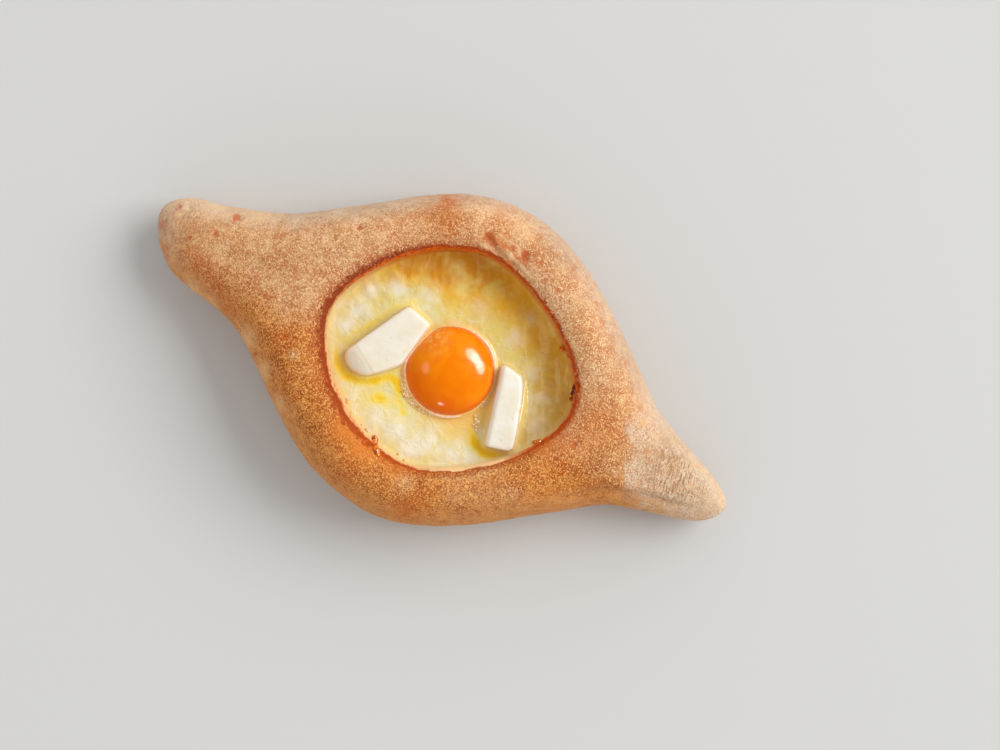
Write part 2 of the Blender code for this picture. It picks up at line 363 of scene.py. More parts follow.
def divided(mesh, chosen):
    """The mesh with each edge between two chosen points cut in half."""
    work = work_mesh(mesh)
    edges = [edge for edge in work.edges if all(chosen[corner.index] for corner in edge.verts)]
    bmesh.ops.subdivide_edges(work, edges=edges, cuts=1, use_grid_fill=True)
    return mesh_from(work, mesh.name)


# ---------------------------------------------------------------- material nodes

class Look:
    """A Principled material, whose colour is built up in layers. Noise sizes are in millimetres.

    A value may be a number, a colour, the name of a mask or a node's output.
    """

    def __init__(self, name, sockets):
        self.material = bpy.data.materials.new(name)
        self.material.use_nodes = True
        self.tree = self.material.node_tree
        self.shader = self.tree.nodes["Principled BSDF"]
        self.place = self.node("TexCoord", {}).outputs["Object"]
        self.colour = (255, 255, 255)
        for socket, value in sockets.items():
            self.shader.inputs[socket].default_value = value

    def put(self, socket, value):
        """Give a socket its value."""
        if isinstance(value, str):
            value = self.node("Attribute", {}, attribute_name=value).outputs["Fac"]
        if isinstance(value, bpy.types.NodeSocket):
            self.tree.links.new(value, socket)
        else:
            socket.default_value = paint(*value) if socket.type == "RGBA" else value

    def node(self, kind, values, **settings):
        """A new node with its settings and the values of its sockets."""
        node = self.tree.nodes.new("ShaderNode" + kind)
        for setting, choice in settings.items():
            setattr(node, setting, choice)
        for socket, value in values.items():
            self.put(node.inputs[socket], value)
        return node

    def stretched(self, lengths, degrees):
        """Places for noise drawn out by lengths along each axis, the axes turned about Z."""
        turn = (0.0, 0.0, math.radians(degrees))
        values = {"Vector": self.place, "Rotation": turn, "Scale": lengths}
        return self.node("Mapping", values, vector_type="TEXTURE").outputs["Vector"]

    def noise(self, size, detail=2.0, roughness=0.5, warp=0.0, place=None):
        """Noise from 0 to 1."""
        values = {"Scale": 1.0 / (size * MM), "Detail": detail, "Roughness": roughness, "Distortion": warp}
        return self.node("TexNoise", {"Vector": place or self.place, **values}).outputs["Fac"]

    def cells(self, size):
        """Many small cells: the distance from each one's middle, and two numbers from 0 to 1 of its own."""
        node = self.node("TexVoronoi", {"Vector": self.place, "Scale": 1.0 / (size * MM)})
        own = self.node("SeparateColor", {"Color": node.outputs["Color"]})
        return node.outputs["Distance"], own.outputs["Red"], own.outputs["Green"]

    def specks(self, size, share, reach):
        """Round specks, 1 in the middle of each: share of the places size apart have one, of radius reach."""
        distance, chance, _ = self.cells(size)
        strength = self.step(chance, 1.0 - share - 0.15, 1.0 - share + 0.15)
        return self.times(self.step(distance, reach, 0.4 * reach), strength)

    def ramp(self, value, *stops):
        """A colour that changes smoothly with a number: stops are (number, colour), numbers from 0 to 1."""
        node = self.node("ValToRGB", {"Fac": value})
        node.color_ramp.interpolation = "EASE"
        points = node.color_ramp.elements
        for place, (position, colour) in enumerate(stops):
            point = points[place] if place < len(points) else points.new(position)
            point.position = position
            point.color = paint(*colour)
        return node.outputs["Color"]

    def math(self, operation, *values):
        """One operation on numbers."""
        return self.node("Math", dict(enumerate(values)), operation=operation).outputs["Value"]

    def times(self, first, *others):
        """The product of numbers."""
        for other in others:
            first = self.math("MULTIPLY", first, other)
        return first

    def uneven(self, value, noise, amount):
        """A number that a noise pushes up or down by up to half of amount."""
        return self.math("MULTIPLY_ADD", self.math("SUBTRACT", noise, 0.5), amount, value)

    def step(self, value, low, high, least=0.0, most=1.0):
        """least at low and most at high, with a smooth step between. high may be the smaller of the two."""
        if high < low:
            low, high, least, most = high, low, most, least
        limits = {"Value": value, "From Min": low, "From Max": high, "To Min": least, "To Max": most}
        return self.node("MapRange", limits, interpolation_type="SMOOTHSTEP").outputs["Result"]

    def blend(self, share, first, second):
        """Two colours mixed, with share of the second."""
        return self.node("Mix", {0: share, 6: first, 7: second}, data_type="RGBA").outputs[2]

    def patches(self, noise, low, high, first, second):
        """Two colours in patches: the first where a noise is under low, the second where it is over high."""
        return self.blend(self.step(noise, low, high), first, second)

    def layer(self, share, shade, strength=1.0):
        """Lay a colour over the look's colour."""
        if strength != 1.0:
            share = self.times(share, strength)
        self.colour = self.blend(share, self.colour, shade)

    def height(self, *layers):
        """Bump from layers of (value, depth in millimetres)."""
        below = {}
        for value, depth in layers:
            node = self.node("Bump", {"Height": value, "Distance": depth * MM, **below})
            below = {"Normal": node.outputs["Normal"]}
        self.put(self.shader.inputs["Normal"], node.outputs["Normal"])

    def finish(self, roughness):
        """Connect the colour and the roughness."""
        self.put(self.shader.inputs["Base Color"], self.colour)
        self.put(self.shader.inputs["Roughness"], roughness)
        return self.material


# ---------------------------------------------------------------- where things are, read from the solids

def node_points(node):
    """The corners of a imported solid, in millimetres."""
    return get_points(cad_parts[node].data)


def loop_from(node, height, near=0.05):
    """The plan of a solid's ring of corners near a height, in order round the middle."""
    places = node_points(node)
    ring = places[np.abs(places[:, 2] - height) < near][:, :2]
    ring = np.unique(np.round(ring, 2), axis=0)
    return ring[np.argsort(heading(ring, ring.mean(axis=0)))]


def moved_in(loop, inset):
    """A closed loop moved towards its middle."""
    middle = loop.mean(axis=0)
    reach = np.linalg.norm(loop - middle, axis=1, keepdims=True)
    return middle + (loop - middle) * (1.0 - inset / reach)


def plan_outline(node):
    """The outline of a convex solid seen from above, counter-clockwise."""
    plan = np.unique(np.round(node_points(node)[:, :2], 3), axis=0)
    return plan[convex_hull_2d([Vector(point) for point in plan])]


LIP_OVERHANG = 0.6                   # how far the lip reaches past the cheese's edge
CHEESE_DIP = 2.2                     # how far the cheese lies below its edge at the wall
YOLK_FLATS = 0.24                    # how far the yolk solid's flat faces fall short of the round
YOLK_DEPTH_SHARE = 0.47              # share of the yolk's height below its widest line

crust_edge = loop_from("bread", 13.0, 0.7)     # widest line of the bread
cheese_floor, cheese_top = (corner.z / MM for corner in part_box("cheese_filling"))
cheese_level = cheese_top - CHEESE_DIP
cheese_edge = loop_from("cheese_filling", cheese_top)
lip = moved_in(cheese_edge, LIP_OVERHANG)
well_middle = cheese_edge.mean(axis=0)
yolk_low, yolk_high = (np.array(corner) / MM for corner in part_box("egg_yolk"))
yolk_radius = 0.5 * (yolk_high[1] - yolk_low[1]) + YOLK_FLATS
yolk_middle = np.array([yolk_high[0] + YOLK_FLATS - yolk_radius, 0.5 * (yolk_low[1] + yolk_high[1])])
yolk_height = yolk_high[2] - yolk_low[2]
yolk_equator = yolk_low[2] + YOLK_DEPTH_SHARE * yolk_height
butter_outline = {side: plan_outline("butter_stick_" + side) for side in ("left", "right")}


# ---------------------------------------------------------------- bread

UNDER_CHEESE = 22.0                  # the well's surface is hidden up to this height
LIP_FALL = 1.5                       # how far the crust's inner face drops to the cheese
LIGHT_LIP = ((46, 24), (-50, 16))    # painted light: the crust just outside the lip made lighter where its slope turns from the lamp: direction and spread
HORN_START = 62.0                    # the right horn, with its ridge and creases, begins here
RIDGE_INSET = 6.5                    # from the widest line in to the groove under the ridge
CREASES = ((106, -0.5), (-117, 5))   # the fine creases near the right and the left tip
CREASE_TURN = 11.0                   # lie across this direction
WRINKLE_PLACE = (4.0, 49.0)          # beside the lip's far side
WRINKLE_TURN = -13.0                 # the wrinkles there run this way

# The lip all the way round: each pair is a direction from the well's middle and a value
FACE_WIDTH = (                       # width of the inner face
    (0, 0.9), (30, 0.9), (60, 0.8), (90, 0.9), (110, 1.3), (135, 1.5), (155, 1.1), (172, 1), (190, 0.8),
    (205, 1), (223, 1.7), (240, 1.5), (257, 0.6), (272, 0.9), (300, 1.7), (325, 1.7), (345, 0.9),
)
BURNT_WIDTH = (                      # width of the dark broken line outside it
    (0, 1.8), (14, 2.2), (34, 1.3), (57, 0.9), (90, 0.8), (107, 0.8), (120, 0.7), (135, 1), (150, 1.9),
    (165, 2.8), (180, 3.2), (195, 3.6), (215, 3.4), (240, 3.4), (258, 2.6), (275, 0.9), (295, 0.15),
    (325, 0.15), (345, 1),
)
EMBERS = (                           # how orange that line is
    (0, 0.9), (34, 0.75), (57, 0.9), (100, 1), (120, 0.6), (140, 0.15), (185, 0), (205, 0.1), (225, 0.3),
    (260, 0.7), (345, 1),
)
BROWNED_WIDTH = (                    # how far the browning reaches past it
    (0, 3.5), (14, 2), (34, 1.2), (57, 1), (90, 1.6), (107, 2.4), (135, 4), (160, 7), (180, 8),
    (200, 8), (223, 7.5), (245, 8), (270, 6), (290, 3.2), (325, 3.2), (345, 5.5),
)
GLOW = (                             # share of orange in the browning
    (0, 0.8), (20, 0.5), (57, 0.3), (120, 0.05), (200, 0.1), (220, 0.3), (235, 0.45), (270, 0.5), (300, 0.15),
    (325, 0.2), (345, 0.7),
)
PALE_FACE = (                        # share of peach on the inner face: the dough's own paler colour, made lighter still as painted light where the face turns from the lamp
    (0, 0), (160, 0), (178, 0.35), (190, 0.55), (205, 0.65), (235, 0.7), (260, 0.65), (275, 0.75),
    (290, 0.85), (310, 1), (325, 1), (340, 0.1),
)
# Blisters and hollows on the crust: x, y, width, height (less than 0 for a hollow)
CRUST_SPOTS = (
    (-98.7, 13.3, 1.6, -0.7), (-103.8, 4.4, 1.5, -0.6), (-52.9, 31.9, 1.8, -0.7), (-40.2, -38.9, 1.5, -0.5),
    (62.7, -6.3, 1.6, -0.7), (-119.7, 8.2, 1.4, -0.6), (-4.8, 46.9, 1.8, 0.6), (5.7, 49.5, 2, 0.8),
    (12.2, 45, 2, 0.5), (19.8, 43.1, 1.8, 0.4), (-5.5, 51.6, 1.6, -0.7), (5, 52.4, 1.4, -0.6),
    (11.6, 51.5, 2.2, -1), (0, 48.5, 1.2, -0.5), (8, 46.6, 1.2, -0.5), (-2, 54.5, 2.5, 0.4),
    (-52.8, -25.2, 1.8, 0.6), (-59.3, -20.1, 1.6, -0.5), (52.1, 12.7, 1.3, -1.6), (52.5, 15, 1.2, -1.2),
    (86, -14.4, 1.2, -0.7), (-13, 58, 4, 0.5), (4.6, 60, 4, 0.4),
)
# Places on the crust, each x, y, width, strength: most have a colour of their own; the darker patches further
# down are painted shade
SCORCHED = (
    (11.6, 51, 2, 1), (10.6, 52.8, 1.4, 0.8), (-5.5, 51.6, 2.4, 0.8), (-2.1, 51.1, 1.8, 0.8),
    (5.2, 52.1, 1.6, 0.8), (17.9, 51.9, 1.6, 0.7), (28.5, 45.7, 1.4, 0.6), (52.3, 13.2, 2.4, 1),
    (-99.9, 13.4, 1.4, 1), (-103.7, 3.5, 1.5, 0.9), (-112.8, -2.2, 1.2, 0.5), (-123.4, 6.5, 1.8, 0.6),
    (-52.9, 31.9, 1.3, 0.8), (62.7, -6.3, 1.3, 0.8), (-74, -9.3, 1.3, 0.8), (-71, -8.6, 1, 0.6),
    (-67.9, -32.3, 0.9, 0.9), (-57.5, -35.9, 1.2, 0.8), (-59.3, -20.1, 1.6, 0.6), (86, -14.4, 1, 0.7),
)
RUDDY = (
    (-26.8, 57.3, 4.5, 0.9), (-18.9, 48.2, 5, 0.9), (-5.1, 62.2, 4, 0.4), (12, 50.5, 5, 0.6),
    (-3, 51, 4.5, 0.6), (-101.4, -10.9, 5, 0.7), (-94, -15.5, 4.5, 0.7), (-109.1, -8, 4, 0.6),
    (-127, -3, 2.6, 0.7), (-122, -11.6, 2.6, 0.5), (-85.5, -19.3, 5, 0.7), (-59, -21, 6, 0.5),
    (-67.3, -28, 4.5, 0.5), (-50, -38, 6, 0.5), (17.7, -54.8, 6, 0.6), (14.1, -60.6, 5, 0.7),
    (-12.4, -57, 6, 0.5), (38.3, -43, 5, 0.4), (58, -8, 7, 0.6), (68, 6, 7, 0.5),
    (76, -17, 6, 0.5), (-36, 36, 5, 0.3), (33, 50, 5, 0.3),
)
# paler spots; those on the raised blisters are painted highlights
PALE = (
    (-4.8, 46.9, 1.6, 0.9), (5.7, 49.5, 1.6, 0.9), (4.6, 60, 5, 0.6), (-12.9, 58.1, 4, 0.6),
    (15, 46, 3, 0.4), (9.5, -50.5, 4, 0.6), (-52.8, -25, 1.8, 0.9), (-67, -12, 6, 0.3),
    (-92, 19, 7, 0.6), (-110, 13, 7, 0.6), (-123, 10, 5, 0.5), (-104, -21.5, 4, 0.7),
    (-94.8, -24, 4, 0.7), (-74, -29, 5, 0.6), (-62, -37, 4, 0.6), (-50, -46, 3.5, 0.5),
    (49, -35, 5, 0.4), (30, -46, 5, 0.4), (40, -41, 6, 0.35),
)
# painted shade: darker patches where less light falls, as on the right horn
DULL = (
    (98, 3, 13, 0.3), (75, -12, 10, 0.3), (116, -6, 8, 0.2), (22, 55, 13, 0.2),
    (60, 28, 13, 0.16), (38, 44, 8, 0.12), (74, 12, 9, 0.08), (-48, -28, 10, 0.07),
    (-26, 49, 9, 0.08),
)
BROWNED = ((70, 3, 13, 0.7), (-49, -2, 7, 0.4), (5, 60, 9, 0.15), (-25, 50, 9, 0.6))
FLUSHED = ((-12, -46, 7, 0.9), (-22, -42.5, 5, 0.8), (2, -47, 5, 0.4), (51, -10, 5, 0.7))
FLOURED = (
    (81, 11.6, 4.5, 1.6), (84.5, 6.5, 3.5, 1.2), (97.6, -4, 6, 0.8), (88.5, -6, 5, 1.4),
    (94, -8, 4.5, 1), (81, -10.5, 3, 0.5), (115, -2, 8, 1.2), (122, -6, 7, 0.9),
    (-112, 14, 7, 0.7), (-95, 19.5, 8, 0.7), (-122, 11, 4, 0.6), (-77, 23, 5, 1.1),
    (-64, 33, 5, 1.2), (-45, 47, 5, 1), (-31, 56, 3.5, 0.9),
)


def horn_relief(points, from_edge):
    """On the right horn: a groove along its lower side, with a ridge above it."""
    x, y = points[:, 0], points[:, 1]
    low_side = rise(y, -3.0, -10.0) * rise(x, HORN_START, HORN_START + 14.0) * rise(x, 124.0, 112.0)
    inward = from_edge - RIDGE_INSET + 1.2 * wobble(points, 14.0, 11)
    return low_side * (0.6 * bell(inward - 3.0, 2.4) - bell(inward, 1.6))


def lip_relief(points, from_lip, width):
    """How far the crust drops at its inner face, below a thin broken ridge, and the crumbs along it."""
    past = from_lip - width
    ridge = 0.5 * bell(past - 0.4, 0.7) * rise(wobble(points, 6.0, 8), -0.5, 0.3)
    crumbs = 0.5 * wobble(points, 1.7, 14) * bell(np.maximum(past, 0.0), 1.4)
    fall = LIP_FALL * np.clip(1.0 - from_lip / width, 0.0, 1.0) ** 1.4
    return (ridge + crumbs - fall) * rise(points[:, 2], cheese_top - 0.2, cheese_top + 2.0)


def torn(plan, from_lip, height, tidy):
    """How far the lip's edge is pulled in or out."""
    ragged = wobbles(plan, (0.55, 3.6, 15), (0.4, 1.7, 16)) * (1.0 - 0.8 * tidy)
    return ragged * bell(from_lip, 2.0) * rise(height, cheese_top - 3.0, cheese_top - 0.5)


def stretch_horns(points):
    """Give the horns back the little that rounding the solid off took from their tips."""
    x = points[:, 0].copy()
    for side, end in ((1.0, cad_high.x / MM), (-1.0, -cad_low.x / MM)):
        short = end - (side * x).max()
        points[:, 0] += side * short * rise(side * x, end - 35.0, end - 3.0)


def bread_mesh():
    """The crust's mesh: coarser where it is hidden, finer along the lip."""
    mesh = refined("bread", BREAD_VOXEL)
    points = get_points(mesh)
    under_cheese = (loop_distance(points[:, :2], lip) < -1.5) & (points[:, 2] < UNDER_CHEESE)
    mesh = thinned(mesh, np.maximum(rise(points[:, 2], 2.5, 1.2), under_cheese), HIDDEN_KEPT)
    points = get_points(mesh)
    middle, reach = FINE_LIP
    near_lip = np.abs(loop_distance(points[:, :2], lip) - middle) < reach
    return divided(mesh, near_lip & (points[:, 2] > cheese_top - 2.0))


def crust_relief(points, normals, from_lip, from_edge, wrinkled):
    """How far the crust swells or sinks: lumpy and gritty all over, with marks and wrinkles on top."""
    on_top = rise(normals[:, 2], 0.0, 0.5) * rise(from_lip, -0.5, 1.5)
    free = rise(points[:, 2], 0.6, 5.0) * np.where(from_lip > -0.5, 1.0, 0.4)
    relief = free * wobbles(points, (0.45, 19.0, 1), (0.24, 7.5, 2), (0.12, 3.2, 3), (0.07, 1.6, 4))
    wrinkles = 0.7 * wobble(turned(points, WRINKLE_TURN) * (0.2, 1.0, 1.0), 1.8, 5)
    marks = spot_sum(points[:, :2], CRUST_SPOTS) + horn_relief(points, from_edge)
    return relief + on_top * (marks + wrinkled * wrinkles), on_top


def crust_shares(points, plan, normals, from_lip, from_edge):
    """How strong each look of the crust is at its points: 0 or less for none, 1 or more for all of it."""
    height = points[:, 2]
    upper = rise(normals[:, 2], -0.1, 0.35)
    horn = rise(plan[:, 0] + 0.4 * plan[:, 1], 78.0, 96.0)
    left_tip = rise(plan[:, 0], -92.0, -116.0)
    smooth = rise(from_edge + 4.0 * wobble(points, 9.0, 12), 1.0, 14.0)
    creased = bell(away_from(plan, *CREASES[0]), 13.0) * rise(from_edge, 2.5, 6.0)
    # painted light on the crust's inner slope just outside the lip, where it turns from the lamp
    light_lip = 0.7 * sum(facing(plan, *side) for side in LIGHT_LIP) * bell(from_lip - 3.2, 2.5)
    deep = rise(height - 3.0 * facing(plan, 55.0, 90.0), cheese_top + 4.8, cheese_top + 2.0)
    flour = 0.8 * horn + 0.4 * left_tip + 0.7 * spot_sum(plan, FLOURED)
    return {
        # browner and darker on the side away from the lamp: partly the crust's own browning, partly painted
        # shade
        "tanned": rise(plan[:, 1] + 5.0 * wobble(points, 15.0, 9), 0.0, -20.0) + spot_sum(plan, BROWNED),
        "scorch": 1.3 * upper * spot_sum(plan, SCORCHED), "ruddy": upper * spot_sum(plan, RUDDY),
        # pale spots with painted highlights and painted light by the lip, and darker patches of painted shade
        "pale": upper * spot_sum(plan, PALE) + light_lip, "dull": spot_sum(plan, DULL),
        "flush": spot_sum(plan, FLUSHED), "flour": flour * rise(height, 3.0, 12.0),
        "creased": creased + 0.5 * bell(away_from(plan, *CREASES[1]), 7.0),
        "grainy": (0.35 + 0.65 * smooth) * (1.0 - 0.3 * horn) * (1.0 - 0.3 * left_tip),
        "pale_face": around(plan, PALE_FACE), "glow": around(plan, GLOW), "embers": around(plan, EMBERS),
        "deep": deep * rise(from_lip, 3.0, 1.5),
    }


def shape_bread():
    """The crust's mesh in its final shape, with the numbers that its material reads."""
    mesh = bread_mesh()
    points = get_points(mesh)
    normals = get_normals(mesh)
    stretch_horns(points)
    plan = points[:, :2].copy()
    from_lip = loop_distance(plan, lip)
    from_edge = -loop_distance(plan, crust_edge)
    tidy = around(plan, PALE_FACE)
    ragged = 0.35 * wobble(plan, 5.0, 7) + 0.2 * (1.0 - tidy) * wobble(plan, 1.8, 10)
    width = around(plan, FACE_WIDTH) * (1.0 + ragged)
    wrinkled = bell(away_from(plan, *WRINKLE_PLACE) - 2.0, 12.0) * rise(from_lip, 14.0, 6.0)
    relief, on_top = crust_relief(points, normals, from_lip, from_edge, wrinkled)
    points = points + normals * relief[:, None]
    points[:, 2] = np.maximum(points[:, 2] + (1.0 - 0.6 * tidy) * lip_relief(points, from_lip, width), 0.0)
    points[:, :2] += unit(plan - well_middle) * torn(plan, from_lip, points[:, 2], tidy)[:, None]
    set_points(mesh, points)
    shares = crust_shares(points, plan, normals, from_lip, from_edge)
    set_masks(mesh, **{name: np.clip(values, 0.0, 1.0) for name, values in shares.items()})
    set_masks(mesh, burnt=around(plan, BURNT_WIDTH), browned=around(plan, BROWNED_WIDTH))
    set_masks(mesh, past_band=from_lip - width, from_lip=from_lip, from_edge=from_edge)
    set_masks(mesh, wrinkled=on_top * wrinkled, facing_up=normals[:, 2])
    return mesh


def crust_tone(look, blotch):
    """The crust's colour before its grain: browner and darker on the side away from the lamp (partly its own
    browning, partly painted shade), paler on the flanks, uneven all over, with spots of painted light and
    shade.
    """
    mottle = look.noise(13.0, 3.0, 0.55)
    patch = look.noise(2.8, 2.0, 0.5)
    beige = look.ramp(mottle, (0.36, (222, 172, 124)), (0.5, (210, 153, 101)), (0.66, (198, 136, 82)))
    brown = look.ramp(mottle, (0.36, (214, 134, 66)), (0.5, (202, 117, 48)), (0.66, (186, 98, 38)))
    # browner towards the side away from the lamp: partly browning, partly painted shade
    look.colour = look.blend("tanned", beige, brown)
    outer = look.step(look.math("MULTIPLY_ADD", blotch, 5.0, "from_edge"), 15.0, 5.0, 0.0, 0.85)
    look.layer(outer, look.blend("tanned", (197, 174, 152), (206, 142, 86)))
    near_lip = look.step(look.math("MULTIPLY_ADD", blotch, 7.0, "from_lip"), 11.0, 4.0, 0.0, 0.6)
    look.layer(near_lip, look.blend("tanned", (214, 142, 80), (192, 112, 46)))
    light = look.blend("tanned", (233, 190, 140), (222, 150, 76))
    dark = look.blend("tanned", (194, 122, 70), (170, 84, 30))
    even = look.step("facing_up", 0.0, 0.8, 0.45, 1.0)
    for noise, spread, strong, shade in (
        (blotch, 0.2, 0.7, dark), (blotch, -0.18, 0.6, light),
        (patch, 0.25, 0.55, dark), (patch, -0.24, 0.6, light),
    ):
        look.layer(look.times(look.step(noise, 0.5, 0.5 + spread, 0.0, strong), even), shade)
    look.layer(look.times("ruddy", look.step(patch, 0.25, 0.6, 0.5, 1.0)), (196, 98, 36))
    # pale spots, painted highlights on the blisters and painted light by the lip
    look.layer("pale", (236, 196, 146), 0.8)
    # painted shade: the crust darkened where less light falls
    look.layer("dull", (20, 14, 10))


def lip_colour(look, blotch, crumb):
    """The lip: a burnt line outside, a toasted or pale inner face whose palest peach is painted light where
    it turns from the lamp, and the moist wall below it.
    """
    line = look.uneven(look.math("DIVIDE", "past_band", "burnt"), crumb, 2.6)
    look.layer(look.step(line, 1.1, 0.3, 0.0, 0.9), look.blend("embers", (134, 48, 10), (184, 72, 8)))
    face = look.patches(crumb, 0.42, 0.64, (206, 76, 8), (232, 128, 28))
    pale = look.patches(crumb, 0.44, 0.62, (220, 166, 114), (202, 126, 70))
    # palest peach where the face turns from the lamp: painted light
    pale = look.blend(look.step("pale_face", 0.7, 0.95), pale, (250, 212, 156))
    pale = look.blend(look.step("from_lip", 0.8, 0.1, 0.0, 0.5), pale, (232, 200, 142))
    inner = look.math("MULTIPLY_ADD", crumb, 0.8, "past_band")
    look.layer(look.step(inner, 0.4, -0.1), look.blend(look.step("pale_face", 0.0, 0.6), face, pale))
    look.layer("deep", look.patches(blotch, 0.35, 0.6, (230, 178, 108), (206, 140, 70)), 0.8)


def crust_grain(look, blotch):
    """The fine grain of the crust, dark and light, with specks. The results are the grain and the specks."""
    grain = look.math("MULTIPLY_ADD", look.noise(0.7, 1.0, 0.5), 0.62, 0.06)
    grain = look.math("MULTIPLY_ADD", look.cells(0.5)[2], 0.26, grain)
    grainy = look.times("grainy", look.step(blotch, 0.25, 0.6, 0.75, 1.15))
    grainy = look.times(grainy, look.step("wrinkled", 0.0, 1.0, 1.0, 0.5))
    specks = look.times(look.specks(0.9, 0.5, 0.42), grainy)
    for share, beige, brown in (
        (look.times(look.step(grain, 0.56, 0.3, 0.0, 0.68), grainy), (182, 108, 64), (138, 60, 16)),
        (look.times(look.step(grain, 0.5, 0.7, 0.0, 0.6), grainy), (252, 218, 168), (248, 192, 108)),
        (look.times(specks, 0.46), (255, 232, 194), (255, 212, 136)),
    ):
        look.layer(share, look.blend("tanned", beige, brown))
    return grain, specks


def crust_marks(look, blotch, crumb, grain):
    """Wrinkles, scorched places, flour dust and creases. The result is the creases."""
    wrinkles = look.noise(1.7, 2.0, 0.5, 0.3, look.stretched((7.0, 1.0, 2.0), WRINKLE_TURN))
    look.layer(look.times(look.step(wrinkles, 0.5, 0.38, 0.0, 0.6), "wrinkled"), (200, 96, 38))
    look.layer(look.times(look.step(wrinkles, 0.53, 0.63, 0.0, 0.3), "wrinkled"), (250, 220, 176))
    look.layer(look.step(look.uneven("scorch", crumb, 2.4), 0.2, 0.9, 0.0, 0.75), (184, 80, 26))
    dust = look.step(look.uneven("flour", blotch, 2.2), 0.3, 1.3, 0.0, 0.75)
    dust = look.times(dust, look.step("flour", 0.0, 0.3), look.step(grain, 0.36, 0.6, 0.35, 1.0))
    look.layer(dust, (222, 203, 176))
    lines = look.noise(0.65, 2.0, 0.5, 0.4, look.stretched((1.0, 9.0, 2.0), CREASE_TURN))
    creases = look.times(look.step(lines, 0.47, 0.38), "creased")
    # the creases darkened: painted shade in the grooves that the bump presses in
    look.layer(creases, (140, 88, 50), 0.5)
    return creases


def crust_look():
    """Baked crust: golden brown, finely speckled, pale on the flanks and red-brown at the lip."""
    look = Look("crust", {"Specular IOR Level": 0.1, "Subsurface Weight": 0.08, "Subsurface Scale": 0.0015})
    blotch = look.noise(5.0, 3.0, 0.6, 0.4)
    crumb = look.noise(1.6, 3.0, 0.6)
    crust_tone(look, blotch)
    browning = look.uneven(look.math("DIVIDE", "past_band", "browned"), blotch, 1.6)
    browning = look.step(browning, 1.0, 0.1, 0.0, 0.85)
    look.layer(browning, look.blend("glow", (160, 74, 28), (196, 100, 34)))
    grain, specks = crust_grain(look, blotch)
    look.layer(look.times(browning, "glow"), (212, 110, 42), 0.3)
    look.layer("flush", (220, 128, 48), 0.8)
    lit = look.uneven(look.step("past_band", 3.2, 0.2), blotch, 1.2)
    look.layer(look.times(look.step(lit, 0.1, 0.9, 0.0, 0.65), "glow"), (180, 74, 12))
    creases = crust_marks(look, blotch, crumb, grain)
    lip_colour(look, blotch, crumb)
    under = look.patches(blotch, 0.4, 0.6, (196, 138, 84), (172, 106, 56))
    look.layer(look.step("facing_up", -0.4, -0.8), under)
    look.height((look.noise(2.2, 2.0), 0.3), (grain, 0.26), (specks, 0.08), (look.times(creases, -1.0), 0.35))
    return look.finish(0.7)


def build_bread():
    """The crust in place of its solid."""
    return add_piece("bread_crust", shape_bread(), crust_look(), "crust", "bread")


# ---------------------------------------------------------------- cheese

CHEESE_WALL = (6.5, 9.7)                   # rings of the filling's wall, up from its floor
EDGE_OVERLAP = 0.6                         # how far the cheese runs on into the crust at its edge
YOLK_PRESSED = np.array([-0.966, 0.259])   # the yolk's side that leans on the left stick
PRESSED_FROM = 13.6                        # that side is pushed in from here on
PRESSED_ROOM = 3.0                         # and never reaches further out than this past it
STREAK_TURN = 27.0                         # the streaks in the cheese lie across this direction
FOLDS = 44                                 # folds along the wall, all the way round
LOW_WALL = (215, 70)                       # where the cheese hardly climbs the wall: direction and spread
BUTTER_SIDE = (-35, 60)                    # the yolk's side near the right stick: direction and spread
FOAM_SIDE = (240, 38)                      # and its side with the foam

# Melted butter on the cheese: the width of each trail, and the places it runs through, each x, y and depth
OIL_TRAILS = (
    (2.1, ((-39.9, -16.2, 0.6), (-36.9, -21.1, 1.2), (-32, -23.7, 1.3), (-26.3, -23, 1), (-20.7, -20, 0.9))),
    (2.2, ((-20.7, -20, 0.9), (-15.7, -15.9, 1.1), (-11.2, -17, 1.5), (-9.3, -19.6, 1.4),
           (-8.6, -22.4, 0.6))),
    (2.6, ((-18.5, -27.2, 0.3), (-15.2, -25.4, 0.8), (-12.5, -25.2, 0.4))),
    (1.6, ((-6.4, -23, 0.4), (-4.2, -26.4, 0.5))),
    (2, ((-39.7, -13, 0.4), (-34.8, -4.8, 0.6), (-29.8, 3.2, 0.7), (-25.9, 11, 0.6), (-20.6, 15.4, 0.5))),
    (1.6, ((21.8, -9.2, 0.5), (21.1, -13.2, 0.6), (22.6, -19.7, 0.8), (27, -23.8, 1))),
    (2.2, ((27, -24.4, 1), (31.7, -26, 1.6), (37.5, -25.2, 1.2), (40.5, -22.6, 0.7))),
    (1.1, ((35.8, 4, 0.5), (38.4, -1, 0.5), (40.9, -8.7, 0.5), (42.8, -14.1, 0.3))),
    (1.6, ((31.4, 11.1, 0.3), (32.6, 15, 0.5), (33.9, 18.7, 0.2))),
    (4, ((-11.7, 35.4, 0.4), (-6.5, 28.5, 0.4), (-2.6, 24, 0.2))),
    (3.5, ((13.6, -21.9, 0.2), (18.7, -23.6, 0.4), (22.6, -25.3, 0.3))),
    (5, ((-30, -28, 0.1), (-18, -26, 0.3), (-4, -27, 0.2))),
)
